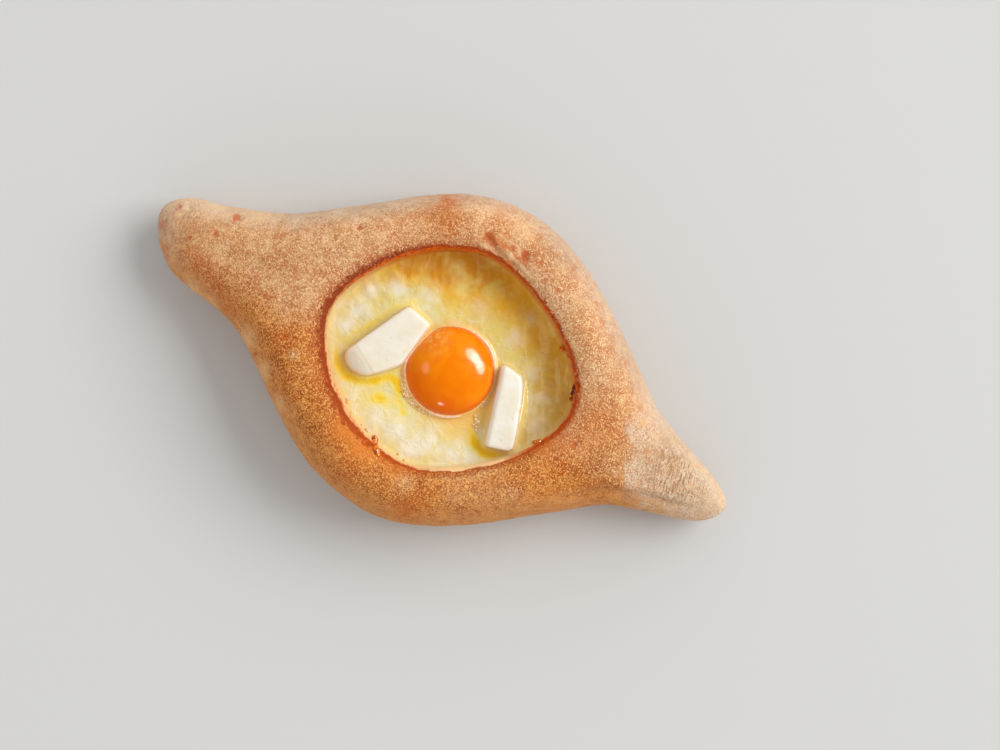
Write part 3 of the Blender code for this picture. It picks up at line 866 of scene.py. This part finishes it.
CREAM_LUMPS = (                            # where the cheese stands whiter and higher: x, y, width, height
    (24.4, 30.1, 3, 0.4), (22.8, 21, 3.2, 0.6), (35.2, 12, 3, 0.6), (43, 3.9, 3.4, 0.5),
    (45.5, -6, 3.2, 0.4), (-29.7, 19.2, 4, 0.5), (-38.6, 13.6, 3, 0.5), (-37.6, 2, 4, 0.4),
    (-41.5, -5.5, 3.4, 0.4), (10.4, -31.4, 5, 0.4), (20.4, -33.6, 4.5, 0.4), (-3.4, -33.7, 5, 0.4),
    (-13, -33, 5, 0.4), (5, -38, 4.5, 0.4), (4, 25, 4, 0.4), (-16, 22, 4.5, 0.4),
    (-26, -28.5, 3, 0.3), (28.5, -31.4, 4, 0.4), (-24, 29, 3, 0.3),
)
AMBER = (                                  # how strongly the lip's painted shade, amber and darker, lies on the cheese all the way round; partly the cheese's own browning
    (325, 0), (345, 0.2), (0, 0.52), (12, 0.68), (45, 0.78), (62, 0.84), (80, 0.9), (105, 1), (128, 1),
    (142, 0.95), (157, 0.65), (170, 0.25), (180, 0),
)
AMBER_REACH = (                            # how far in from the wall that goes
    (325, 12), (5, 28), (60, 31), (90, 38), (120, 36), (140, 18), (160, 10), (180, 5),
)


def pressed(plan):
    """A round yolk's plan, about its middle, with the side that leans on the butter pushed in."""
    past = np.maximum(plan @ YOLK_PRESSED - PRESSED_FROM, 0.0)
    return plan + np.outer(PRESSED_ROOM * np.tanh(past / PRESSED_ROOM) - past, YOLK_PRESSED)


def round_loop(radius, count):
    """The outline of a yolk of some radius, in place."""
    return pressed(radius * circle(count)) + yolk_middle


def yolk_distance(plan):
    """Distance from points of the plan to the yolk's widest line: negative under the yolk."""
    return loop_distance(plan, round_loop(yolk_radius, 180))


def butter_distance(plan):
    """Distance from points of the plan to the nearer stick: negative under it."""
    return np.minimum(*(loop_distance(plan, outline) for outline in butter_outline.values()))


def yolk_underside(gap):
    """Height of the yolk's lower half at a distance inside its widest line, given as a negative gap."""
    share = np.clip(-gap / yolk_radius, 0.0, 1.0)
    return yolk_equator - YOLK_DEPTH_SHARE * yolk_height * np.sqrt(share * (2.0 - share))


def trail_depth(plan, width, places):
    """Depth of a trail of melted butter that runs through places, each x, y and depth."""
    depth = np.zeros(len(plan))
    for start, end in itertools.pairwise(np.array(places)):
        along = end[:2] - start[:2]
        share = np.clip((plan - start[:2]) @ along / (along @ along), 0.0, 1.0)
        gap = np.linalg.norm(plan - start[:2] - np.outer(share, along), axis=1)
        depth = np.maximum(depth, (start[2] + (end[2] - start[2]) * share) * bell(gap, width))
    return depth


def oil_depth(plan):
    """Depth of melted butter on the cheese."""
    depth = sum(trail_depth(plan, *trail) for trail in OIL_TRAILS)
    return depth * np.clip(1.0 + wobbles(plan, (0.3, 6.0, 31), (0.15, 2.6, 32)), 0.3, 1.6)


def wall_climb(plan):
    """How far the cheese climbs the wall."""
    return CHEESE_DIP * (1.0 - 0.85 * facing(plan, *LOW_WALL))


def cheese_height(plan):
    """Height of the cheese: lumpy, folded near the wall, climbing the wall and the things on it."""
    inside = np.maximum(-loop_distance(plan, cheese_edge), 0.0)
    gap = np.maximum(yolk_distance(plan), 0.0)
    right_gap = np.maximum(loop_distance(plan, butter_outline["right"]), 0.0)
    calm = rise(inside, 0.0, 4.0) * (1.0 - 0.7 * rise(oil_depth(plan), 0.0, 0.8))
    folds = np.sin(np.radians(heading(plan, well_middle)) * FOLDS + 3.0 * wobble(plan, 8.0, 24))
    folds *= rise(inside, 0.6, 2.5)
    creased = 0.18 * facing(plan, 158.0, 16.0) * rise(inside, 15.0, 4.0)
    creased += 0.4 * facing(plan, 14.0, 26.0) * rise(inside, 18.0, 6.0)
    height = cheese_level + wall_climb(plan) * np.exp(-inside / 0.8)
    height += calm * wobbles(plan, (0.45, 11.0, 21), (0.26, 5.0, 22), (0.06, 2.2, 23))
    height += 0.8 * calm * spot_sum(plan, CREAM_LUMPS)
    height += creased * np.sign(folds) * np.abs(folds) ** 1.5
    height += 0.3 * bell(butter_distance(plan) - 0.8, 0.6)
    height += 2.2 * bell(right_gap, 1.5) * rise(facing_yolk(plan, *BUTTER_SIDE), 0.3, 0.9)
    return height + (yolk_equator - 0.1 - height) * bell(gap, 1.1)


def cheese_surface(plan):
    """The cheese's height with the hollows that the yolk and the butter sit in."""
    height = cheese_height(plan)
    gap = yolk_distance(plan)
    height = np.where(gap < 0.0, np.minimum(height, yolk_underside(gap) - 0.05), height)
    for side, outline in butter_outline.items():
        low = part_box("butter_stick_" + side)[0].z / MM
        sunk = rise(loop_distance(plan, outline), -1.2, -2.0)
        height = height + (np.minimum(height, low - 0.05) - height) * sunk
    return height


def cheese_masks(mesh):
    """The numbers that the cheese's material reads, for any mesh lying on the cheese."""
    plan = get_points(mesh)[:, :2]
    inside = -loop_distance(plan, cheese_edge)
    from_yolk = yolk_distance(plan)
    wandering = (inside + 3.0 * wobble(plan, 9.0, 25)) / around(plan, AMBER_REACH)
    set_masks(
        mesh, inside=inside, oil=oil_depth(plan), from_yolk=from_yolk, from_butter=butter_distance(plan),
        # painted shade under the lip: amber and darker, partly the cheese's own browning
        shade=around(plan, AMBER) * rise(wandering, 1.0, 0.3),
        cream=np.clip(spot_sum(plan, CREAM_LUMPS) / 0.4, 0.0, 1.0),
        skirt=facing_yolk(plan, *FOAM_SIDE),
        # painted reflected light: the yolk's orange cast on the cheese next to it, strongest towards the
        # right stick
        beside=0.45 + 0.55 * facing_yolk(plan, *BUTTER_SIDE),
        # painted light: warmer and lighter where the right stick shades the cheese
        warm=facing_yolk(plan, -40.0, 42.0) * rise(from_yolk, 13.0, 4.0),
        # paler cream towards the right wall, lightened further as painted light where the lip shades it
        creamy=facing(plan, -34.0, 24.0) * rise(inside, 16.0, 4.0),
        folded=np.clip(0.25 + facing(plan, 5.0, 50.0) * rise(inside, 26.0, 10.0), 0.0, 1.0),
    )
    return mesh


def shape_cheese():
    """The whole filling: floor, wall and a finely divided top."""
    ways = circle(CHEESE_AROUND)
    headings = heading(ways, 0.0)

    def ring(height):
        """A ring of the solid's corners, divided evenly by angle."""
        loop = loop_from("cheese_filling", height) - well_middle
        reach = np.interp(headings, heading(loop, 0.0), away_from(loop, 0.0, 0.0), period=360.0)
        return columns(well_middle + ways * reach[:, None], height)

    rings = [ring(cheese_floor + up) for up in (0.0, *CHEESE_WALL)]
    rim = ring(cheese_top)[:, :2] + EDGE_OVERLAP * ways
    for share in np.linspace(1.0, 0.004, CHEESE_RINGS):
        plan = well_middle + (rim - well_middle) * share
        rings.append(columns(plan, cheese_surface(plan)))
    return cheese_masks(ring_mesh("cheese", rings))


def cheese_colour(look):
    """Lay the melted cheese's colours. The results are its melted butter, its veins and its edge."""
    curd = look.noise(7.0, 2.0, 0.5, 0.4)
    cloud = look.noise(4.2, 3.0, 0.5, 0.6)
    streaks = look.noise(3.2, 2.0, 0.45, 0.4, look.stretched((1.0, 4.0, 1.0), STREAK_TURN))
    # the melt turns amber and darker with the shade mask: painted shade under the lip, partly the cheese's
    # own browning
    shade = look.uneven("shade", streaks, look.times(look.step("shade", 0.0, 0.3), 0.35))
    look.colour = look.ramp(
        shade, (0.0, (234, 222, 158)), (0.3, (234, 212, 122)), (0.6, (232, 191, 74)), (0.82, (238, 180, 38)),
        (1.0, (216, 144, 16)),
    )
    look.layer(look.step(curd, 0.42, 0.64, 0.0, 0.5), (236, 215, 110))
    white = look.times(look.step(cloud, 0.48, 0.66, 0.0, 0.6), look.step(shade, 0.8, 0.1, 0.15, 1.0))
    look.layer(white, (237, 232, 204))
    # painted light: paler where the lip shades the cheese near the right wall
    look.layer("creamy", (255, 244, 200), 0.5)
    veins = look.math("ABSOLUTE", look.math("SUBTRACT", look.noise(5.5, 2.0, 0.5, 1.0), 0.5))
    # the fine veins darker in the grooves that the bump makes: painted shade
    thin = look.times(look.step(veins, 0.02, 0.0, 0.0, 0.5), look.step("folded", 0.0, 1.0, 0.4, 1.0))
    # each layer has a colour for the lit cheese and a darker amber one for the painted shade
    for share, clear, amber in (
        (look.times(look.step(streaks, 0.5, 0.38, 0.0, 0.6), "folded"), (230, 206, 104), (232, 164, 40)),
        (look.times(look.step(streaks, 0.52, 0.64, 0.0, 0.7), "folded"), (247, 241, 214), (250, 206, 90)),
        (thin, (226, 204, 118), (206, 136, 28)),
        (look.times("cream", look.step(cloud, 0.3, 0.55, 0.35, 0.85)), (245, 242, 224), (236, 192, 96)),
    ):
        look.layer(share, look.blend(shade, clear, amber))
    oil = look.uneven("oil", curd, 0.3)
    depth = look.step(oil, 0.1, 1.6)
    golden = look.ramp(depth, (0.0, (250, 232, 150)), (0.5, (250, 222, 92)), (1.0, (250, 206, 44)))
    look.layer(look.step(oil, 0.0, 0.8), golden)
    look.layer(look.step("from_butter", 2.2, 0.6, 0.0, 0.7), (252, 226, 140))
    # painted reflected light: the yolk's orange on the cheese close by
    look.layer(look.times(look.step("from_yolk", 4.5, 0.5, 0.0, 0.8), "beside"), (250, 178, 74))
    # painted light: warmer and lighter where the right stick shades the cheese
    look.layer("warm", (255, 204, 104), 0.75)
    meniscus = look.step("inside", 1.8, 0.4, 0.0, 0.85)
    # the edge at the wall a little darker than the cheese, deep orange where the shade mask is high: painted
    # shade
    edge = look.blend("shade", (224, 196, 134), (206, 104, 8))
    look.layer(meniscus, look.blend("creamy", edge, (244, 218, 156)))
    return oil, veins, meniscus


def cheese_look():
    """Melted cheese: cream lumps in a yellower melt, amber and darker where it lies under the lip: painted
    shade, partly its own browning.
    """
    look = Look("cheese", {
        "Specular IOR Level": 0.2, "Subsurface Weight": 0.2, "Subsurface Scale": 0.003,
        "Subsurface Radius": (1.0, 0.75, 0.35), "Coat Roughness": 0.08,
    })
    oil, veins, meniscus = cheese_colour(look)
    look.height((look.step(veins, 0.0, 0.25), 0.12), (look.noise(1.6, 2.0), 0.05))
    dull = look.math("MAXIMUM", meniscus, "shade")
    look.put(look.shader.inputs["Coat Weight"], look.step(dull, 0.0, 0.7, 0.35, 0.02))
    return look.finish(look.math("MAXIMUM", look.step(oil, 0.0, 0.5, 0.4, 0.2), meniscus))


def build_cheese():
    """The filling in place of its solid."""
    add_piece("melted_cheese", shape_cheese(), cheese_look(), "cheese", "cheese_filling")


# ---------------------------------------------------------------- yolk

FILM_PLACE = (-11.5, 9.5)                  # the film on the yolk, from the yolk's middle
FILM_WIDTH = 5.5
POLE_GAP = 0.4                             # the first and last rings stop this many degrees short


def shape_yolk():
    """A smooth low dome, pressed in where it leans on the butter."""
    rings = []
    for turn in np.radians(np.linspace(POLE_GAP - 90, 90.0 - POLE_GAP, YOLK_RINGS)):
        share = YOLK_DEPTH_SHARE if turn < 0.0 else 1.0 - YOLK_DEPTH_SHARE
        plan = round_loop(yolk_radius * math.cos(turn), YOLK_AROUND)
        rings.append(columns(plan, yolk_equator + share * yolk_height * math.sin(turn)))
    mesh = ring_mesh("yolk", rings)
    points = get_points(mesh)
    plan = points[:, :2] - yolk_middle
    filmed = bell(away_from(plan, *FILM_PLACE), FILM_WIDTH)
    relief = 0.12 * wobble(points, 9.0, 41) + 0.1 * wobble(points, 2.4, 42) * filmed
    set_points(mesh, points + get_normals(mesh) * relief[:, None])
    plan = plan / yolk_radius
    set_masks(mesh, filmed=filmed, far_side=plan @ (-0.2, -1.0), rim=np.linalg.norm(plan, axis=1))
    return mesh


def yolk_look():
    """Raw yolk: wet, deep orange, redder and darker at its lower edge and on its side away from the lamp,
    which is painted shade, and veiled by a film next to the butter.
    """
    look = Look("yolk", {
        "Specular IOR Level": 0.15, "Subsurface Weight": 0.2, "Subsurface Scale": 0.003,
        "Subsurface Radius": (1.0, 0.35, 0.05), "Coat Weight": 0.55, "Coat Roughness": 0.06,
    })
    look.colour = look.patches(look.noise(8.0, 3.0, 0.5, 1.0), 0.35, 0.65, (246, 128, 2), (250, 144, 8))
    # painted shade: darker, redder orange on the side away from the lamp
    look.layer(look.step("far_side", -0.1, 0.9, 0.0, 0.6), (240, 100, 0))
    look.layer(look.step("rim", 0.86, 1.0, 0.0, 0.6), (226, 84, 0))
    veil = look.times("filmed", look.step(look.noise(1.6, 2.0, 0.5), 0.42, 0.6, 0.1, 0.75))
    look.layer(veil, (250, 176, 96))
    return look.finish(0.2)


def build_yolk():
    """The yolk in place of its solid."""
    yolk = add_piece("yolk", shape_yolk(), yolk_look(), "yolk", "egg_yolk")
    yolk.visible_shadow = False        # it lets light through


# ---------------------------------------------------------------- butter

# Sloped sides of the sticks: two points of the top face's edge, how far the slope reaches out and drops
BUTTER_SLOPES = {
    "left": ((-32.9, -11), (-22.6, -17.4), 5, 1.5),
    "right": ((32.2, -22.6), (24.2, 7.9), 1.3, 1.3),
}
BUTTER_NOTCH = (38, -4.6)          # a nick in the right-hand stick
KNIFE_TURN = -28.0                 # the knife streaks lie across this direction


def shape_butter(side, seed):
    """A cut stick with softened corners and a sloped side, melting outward at its foot."""
    mesh = refined("butter_stick_" + side, BUTTER_VOXEL, rounding=1, smoothing=12)
    points = get_points(mesh)
    normals = get_normals(mesh)
    plan = points[:, :2].copy()
    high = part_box("butter_stick_" + side)[1].z / MM
    start, end, reach, drop = BUTTER_SLOPES[side]
    along = np.subtract(end, start) / math.dist(start, end)
    outward = np.array([along[1], -along[0]]) * (1.0 if side == "left" else -1.0)
    past = (plan - start) @ outward
    slope = drop * np.clip(past / reach, 0.0, 1.3) ** 1.3
    points[:, 2] -= slope * rise(points[:, 2], cheese_level - 1.0, high)
    foot = rise(points[:, 2], high - 2.5, cheese_level) * rise(np.abs(normals[:, 2]), 0.9, 0.3)
    soft = wobbles(points, (0.14, 7.0, seed), (0.07, 2.6, seed + 1))
    soft -= 0.6 * bell(away_from(plan, *BUTTER_NOTCH), 1.1)
    soft -= 0.15 * bell(past, 0.5) * rise(points[:, 2], high - 1.5, high - 0.5)
    points = points + normals * (soft + 0.7 * foot)[:, None]
    set_points(mesh, points)
    warm = np.full(len(points), 0.3 if side == "left" else 0.0)
    set_masks(mesh, above_foot=points[:, 2] - cheese_level, crease=bell(past, 0.5), warm=warm)
    return mesh


def butter_look():
    """Cold butter going soft: off-white, waxy, with faint knife streaks and pits."""
    look = Look("butter", {
        "Specular IOR Level": 0.4, "Subsurface Weight": 0.5, "Subsurface Scale": 0.004,
        "Subsurface Radius": (1.0, 0.92, 0.75), "Coat Weight": 0.15, "Coat Roughness": 0.15,
    })
    pits = look.specks(2.4, 0.2, 0.28)
    look.colour = look.patches(look.noise(6.0, 3.0), 0.35, 0.65, (244, 241, 230), (240, 235, 216))
    # a slightly warmer tone over the left stick
    look.layer("warm", (236, 222, 194))
    # painted shade along the fold where the top meets the sloped side
    look.layer("crease", (222, 206, 168), 0.4)
    look.layer(look.step("above_foot", 3.4, 0.6), (240, 220, 160))
    # the pits darker: painted shade in the hollows that the bump makes
    look.layer(pits, (214, 196, 156), 0.3)
    streaks = look.noise(1.0, 2.0, 0.5, 0.0, look.stretched((1.0, 8.0, 1.0), KNIFE_TURN))
    look.height((streaks, 0.06), (look.noise(1.6, 2.0), 0.07), (look.times(pits, -1.0), 0.15))
    return look.finish(0.36)


def build_butter():
    """Both sticks in place of their solids."""
    material = butter_look()
    for side, seed in (("left", 51), ("right", 61)):
        add_piece("butter_" + side, shape_butter(side, seed), material, "butter", "butter_stick_" + side)


# ---------------------------------------------------------------- egg white, foam and beads

FOAM_COUNT = 260
FOAM_BY_BUTTER = (
    (22.3, -14.4), (23, -15.6), (23.8, -16.9), (24.6, -18.2), (23.2, -17.9), (24.4, -15.9), (25.2, -19.4),
)
BUBBLES = ((22.9, -8.8, 1.05), (21.6, -10.6, 0.5), (24.2, -7.4, 0.4))     # x, y, radius
BUBBLE_RIM = 0.24
BEAD_CLIMB = 0.73                  # beads at the wall lie at least this share of the cheese's climb up it
# The raised line along the egg white's edge: first and last direction, how far out it lies, its radius
WHITE_ARCS = ((104, 12, 0.4, 0.42), (168, 214, 0.4, 0.3), (266, 312, 0.6, 0.5))

# Toasted beads of cheese along the lower wall, and dark ones at the right-hand lip: x, y, radius
BEADS = (
    (-30.4, -30.9, 0.55), (-29.3, -31.6, 0.45), (-26.3, -32.7, 0.9), (-27.2, -31.8, 0.5), (-22.7, -36.1, 0.8),
    (-21.8, -36.8, 0.5), (-19.2, -37.7, 0.6), (-14.6, -39.2, 0.5), (-13.6, -39.6, 0.35), (-5.7, -42.6, 0.45),
    (1.6, -42.2, 0.4), (4.8, -43.3, 0.5), (12, -42.2, 0.35), (-39.7, -21.4, 0.45), (-36, -25, 0.35),
    (-33, -28.5, 0.4), (-24.6, -34.6, 0.4), (-17, -38.4, 0.35),
)
BURNT_BEADS = ((53.1, 11.6, 0.9), (52.9, 12.6, 1.1), (52.6, 13.6, 1.1), (52.2, 14.6, 0.85))
RUSTY_BEADS = (
    (48, 21.4, 1.2), (52, 17.3, 1), (30.8, 36.2, 1.1), (26.6, 39.4, 1), (37.6, 31.6, 1),
    (50.1, 19, 1.1), (45.1, 24.6, 1.1), (40.3, 29.4, 0.9), (34.2, 34.3, 0.8), (53.8, 9.4, 1),
)
AMBER_BEADS = ((41.1, 25.5, 1.2), (49.8, -12, 1.5), (48.4, -12.9, 0.9))
DRIP = (                           # a caramel drip down the lower lip
    (-9.9, -40.6, 1.1), (-9.4, -41.3, 1.5), (-8.7, -42.2, 1.5), (-8, -43.1, 1.5), (-7.3, -43.9, 1.6),
    (-6.6, -44.6, 1.7), (-6, -45.2, 1.5), (-5.2, -45.6, 1),
)
# Crumbs along the lip: first and last direction, how many, smallest and largest radius
CRUMBS = ((4, 98, 70, 0.25, 0.6), (120, 172, 45, 0.2, 0.5), (206, 276, 14, 0.15, 0.3))
# Each kind of bead: places (crumbs are scattered), two colours, coat, roughness, sunk share, flatness and
# fineness
BEAD_KINDS = {
    "toasted_beads": (BEADS, (246, 198, 128), (228, 160, 84), 0.5, 0.3, 0.5, 0.8, 3),
    "burnt_beads": (BURNT_BEADS, (128, 44, 14), (86, 26, 8), 0.3, 0.35, 0.1, 0.8, 3),
    "rusty_beads": (RUSTY_BEADS, (206, 104, 34), (160, 64, 16), 0.3, 0.35, 0.4, 0.8, 3),
    "amber_bubbles": (AMBER_BEADS, (236, 140, 36), (204, 96, 20), 0.9, 0.12, 0.1, 0.85, 4),
    "caramel_drip": (DRIP, (230, 130, 36), (170, 70, 14), 0.8, 0.15, 0.2, 0.8, 3),
    "crumbs": (None, (206, 98, 34), (156, 62, 20), 0.2, 0.5, 0.35, 0.8, 2),
}


def film(name, loop, width, thickness):
    """A thin skirt lying on the cheese outside a loop: it fades out to nothing at its outer edge."""
    outward = unit(loop - loop.mean(axis=0))
    shares = np.linspace(0.0, 1.0, FILM_RINGS)
    rows = [(width * share - 0.4, thickness * (1.0 - share ** 2) ** 1.5 - 0.01) for share in shares]
    rows += [(width * 0.97 - 0.4, -0.5), (np.full(len(loop), -0.3), -0.6)]
    rings = []
    for reach, lift in rows:
        plan = loop + outward * reach[:, None]
        rings.append(columns(plan, cheese_height(plan) + lift))
    index = np.arange(len(rings) * len(loop)).reshape(len(rings), -1)
    return make_mesh(name, np.concatenate(rings), ring_faces(index.T, np.roll(index.T, -1, axis=0)))


def tubes(name, paths, sides=10):
    """One mesh of round cords, each a list of x, y, z and radius."""
    points, faces = [], []
    for path in map(np.array, paths):
        along = unit(np.gradient(path[:, :3], axis=0))
        across = unit(np.column_stack([-along[:, 1], along[:, 0], np.zeros(len(path))]))
        upward = np.cross(along, across)
        faces += tube_faces(len(points) + np.arange(len(path) * sides).reshape(-1, sides))
        for place, side, top in zip(path, across, upward):
            points += [place[:3] + place[3] * (right * side + up * top) for right, up in circle(sides)]
    return make_mesh(name, points, faces)


def joined_balls(name, places, heights, flatness, levels=2):
    """One mesh of many flattened balls, each x, y and radius, with their heights."""
    work = bmesh.new()
    flat = Matrix.Diagonal((1.0, 1.0, flatness, 1.0))
    for (x, y, radius), z in zip(places, heights):
        shift = Matrix.Translation((x * MM, y * MM, z * MM)) @ flat
        bmesh.ops.create_icosphere(work, subdivisions=levels, radius=radius * MM, matrix=shift)
    return mesh_from(work, name)


def yolk_arc(first, last, out, radius):
    """A cord lying on the cheese round part of the yolk, out from its edge, thinning to both ends."""
    shares = np.linspace(0.0, 1.0, ARC_STEPS)
    ways = np.array([way(first + (last - first) * share) for share in shares])
    plan = pressed(ways * (yolk_radius + out)) + yolk_middle
    thick = radius * np.maximum(np.sin(math.pi * shares), 0.05) ** 0.6
    return columns(plan, cheese_height(plan) + 0.25 * radius, thick)


def mottled(name, size, pale, dark, coat, coat_roughness, roughness):
    """A wet look in two mottled colours."""
    look = Look(name, {"Specular IOR Level": 0.5, "Coat Weight": coat, "Coat Roughness": coat_roughness})
    look.colour = look.patches(look.noise(size, 2.0), 0.4, 0.6, pale, dark)
    return look.finish(roughness)


def build_egg_white():
    """The thin skirt of egg white round the yolk, and the raised line along its edge."""
    loop = round_loop(yolk_radius - 0.3, FILM_AROUND)
    foamy = facing_yolk(loop, *FOAM_SIDE)
    width = 1.8 + 2.4 * foamy + 0.3 * wobble(loop, 5.0, 71)
    skirt = Look("egg_white", {"Specular IOR Level": 0.5, "Coat Weight": 0.5, "Coat Roughness": 0.04})
    cheese_colour(skirt)
    tint = skirt.noise(1.6, 3.0, 0.6)
    reach = skirt.math("MULTIPLY_ADD", tint, 1.6, "from_yolk")
    share = skirt.times(skirt.step(reach, 3.8, 2.4, 0.0, 0.9), skirt.step("skirt", 0.0, 0.8, 0.3, 1.0))
    # peach on the foam side, made lighter to stand in for light where the yolk shades the skirt: partly the
    # egg white's own colour, partly painted light
    skirt.layer(share, skirt.patches(tint, 0.42, 0.6, (255, 224, 158), (252, 196, 112)))
    skirt.height((tint, 0.15))
    mesh = cheese_masks(film("egg_white", loop, width, 0.25 + 0.15 * foamy))
    add_piece("egg_white", mesh, skirt.finish(0.2), "yolk")
    # the raised edge near-white: partly the egg white's own colour, partly a painted highlight on the film's
    # edge
    rim = mottled("egg_white_rim", 2.0, (255, 240, 222), (252, 222, 192), 0.6, 0.05, 0.2)
    add_piece("egg_white_rim", tubes("egg_white_rim", [yolk_arc(*arc) for arc in WHITE_ARCS]), rim, "yolk")


def foam_places():
    """Where the froth's bubbles and the darker ones among them lie, each x, y and radius."""
    chance = random.Random(7)
    pale, dark = [], []
    for number in range(FOAM_COUNT):
        turn = chance.gauss(FOAM_SIDE[0] + 4.0, 20.0)
        out = yolk_radius + 0.3 + chance.uniform(0.0, 3.2) * bell(turn - FOAM_SIDE[0], 34.0)
        x, y = yolk_middle + out * way(turn)
        if number % 9:
            pale.append((x, y, chance.choice((0.16, 0.2, 0.25, 0.32))))
        else:
            dark.append((x, y, chance.choice((0.18, 0.22, 0.3))))
    pale += [(x, y, chance.uniform(0.5, 0.8)) for x, y in FOAM_BY_BUTTER]
    dark += [(x + 0.7, y - 0.5, 0.2) for x, y in FOAM_BY_BUTTER[::2]]
    return pale, dark


def build_froth():
    """Bubbles along the yolk's lower left edge, with a few loose ones by the right-hand stick."""
    pale, dark = foam_places()
    froth = mottled("froth", 1.4, (255, 234, 194), (250, 212, 150), 0.6, 0.04, 0.16)
    # tan dots that stand in for the shade inside the froth's holes: painted shade
    look = Look("froth_holes", {"Specular IOR Level": 0.4})
    look.colour = look.blend(look.noise(0.8, 2.0), (226, 166, 90), (204, 138, 66))
    holes = look.finish(0.4)
    for name, places, material, up in (("froth", pale, froth, 0.26), ("froth_holes", dark, holes, 0.4)):
        height = cheese_height(np.array(places)[:, :2]) + up
        add_piece(name, joined_balls(name, places, height, 0.6), material, "yolk")
    circles = []
    for x, y, radius in BUBBLES:
        plan = (x, y) + radius * circle(BUBBLE_STEPS)[np.arange(BUBBLE_STEPS + 1) % BUBBLE_STEPS]
        circles.append(columns(plan, cheese_height(plan) + 0.1, BUBBLE_RIM))
    add_piece("bubbles", tubes("bubbles", circles, 8), froth, "yolk")


def height_on(mesh, plan):
    """Height of a mesh's upper side at places of the plan, from its nearest point."""
    points = get_points(mesh)[get_normals(mesh)[:, 2] > 0.05]
    nearest = [np.argmin(((points[:, :2] - place) ** 2).sum(axis=1)) for place in plan]
    return points[nearest, 2]


def random_crumbs():
    """Crumbs scattered just outside the lip, each x, y and radius."""
    chance = random.Random(11)
    headings = heading(lip, well_middle)
    reaches = away_from(lip, *well_middle)
    crumbs = []
    for first, last, count, small, large in CRUMBS:
        for _ in range(count):
            turn = chance.uniform(first, last)
            reach = np.interp(turn, headings, reaches, period=360.0) + chance.uniform(0.5, 2.0)
            crumbs.append((*(well_middle + way(turn) * reach), chance.uniform(small, large)))
    return crumbs


def build_beads(crust):
    """Beads and crumbs, which lie on the crust outside the lip and on the cheese inside it."""
    for name, (places, pale, dark, coat, roughness, sink, flatness, levels) in BEAD_KINDS.items():
        places = np.array(places or random_crumbs())
        plan = places[:, :2]
        at_wall = np.maximum(cheese_height(plan), cheese_level + BEAD_CLIMB * wall_climb(plan))
        height = np.where(loop_distance(plan, lip) > 0.0, height_on(crust.data, plan), at_wall)
        balls = joined_balls(name, places, height - sink * places[:, 2], flatness, levels)
        add_piece(name, balls, mottled(name, 1.2, pale, dark, coat, 0.06, roughness), "cheese")


# ---------------------------------------------------------------- room, light and camera

def build_stage():
    """A plain pale floor."""
    corners = [(x * FLOOR_SIDE, y * FLOOR_SIDE, 0.0) for x, y in ((-1, -1), (1, -1), (1, 1), (-1, 1))]
    floor = link_object("floor", make_mesh("floor", corners, [(0, 1, 2, 3)]))
    look = Look("floor", {"Specular IOR Level": 0.2})
    look.colour = (208, 208, 206)
    floor.data.materials.append(look.finish(0.8))


def add_lamp(name, shape, azimuth, elevation, distance, size, energy):
    """A flat lamp that faces the middle of the floor."""
    lamp = link_object(name, bpy.data.lights.new(name, "AREA"))
    lamp.data.shape = shape
    lamp.data.size, lamp.data.size_y = size
    lamp.data.energy = energy
    level, up = way(elevation)
    towards = Vector((*(level * way(azimuth)), up))
    lamp.location = towards * distance * MM
    lamp.rotation_euler = towards.to_track_quat("Z", "Y").to_euler()
    return lamp


def add_window(azimuth, elevation, width, height, brightness):
    """A bright panel that only glossy surfaces show."""
    size = [2.0 * WINDOW_DISTANCE * MM * math.tan(math.radians(0.5 * side)) for side in (width, height)]
    area = 0.25 * math.pi * math.prod(size)
    energy = brightness * math.pi * area
    window = add_lamp("window", "ELLIPSE", azimuth, elevation, WINDOW_DISTANCE, size, energy)
    window.visible_diffuse = False


def build_light():
    """One large soft lamp, high to one side, in a room with pale walls and a dim ceiling."""
    key = add_lamp("key", "RECTANGLE", *KEY_WAY, KEY_DISTANCE, [side * MM for side in KEY_SIZE], KEY_POWER)
    key.data.color = KEY_COLOUR
    key.visible_glossy = False
    for window in WINDOWS:
        add_window(*window)
    sky = bpy.data.worlds.new("sky")
    sky.cycles_visibility.glossy = False
    sky.use_nodes = True
    nodes, links = sky.node_tree.nodes, sky.node_tree.links
    direction = nodes.new("ShaderNodeSeparateXYZ")
    links.new(nodes.new("ShaderNodeTexCoord").outputs["Generated"], direction.inputs["Vector"])
    fall = nodes.new("ShaderNodeMapRange")
    fall.interpolation_type = "SMOOTHSTEP"
    for socket, value in {"From Min": SKY_EDGE, "To Min": SKY_AROUND, "To Max": SKY_OVERHEAD}.items():
        fall.inputs[socket].default_value = value
    links.new(direction.outputs["Z"], fall.inputs["Value"])
    nodes["Background"].inputs["Color"].default_value = (1.0, 1.0, 1.0, 1.0)
    links.new(fall.outputs["Result"], nodes["Background"].inputs["Strength"])
    bpy.context.scene.world = sky


def build_camera():
    """Straight above, looking down."""
    camera = link_object("camera", bpy.data.cameras.new("camera"))
    camera.data.lens = CAMERA_LENS
    camera.location = Vector(CAMERA_PLACE) * MM
    camera.rotation_euler = (0.0, 0.0, math.radians(CAMERA_TURN))
    bpy.context.scene.camera = camera
    bpy.context.scene.view_settings.view_transform = "Standard"


build_camera()
build_light()
build_stage()
crust = build_bread()
build_cheese()
build_yolk()
build_butter()
build_egg_white()
build_froth()
build_beads(crust)
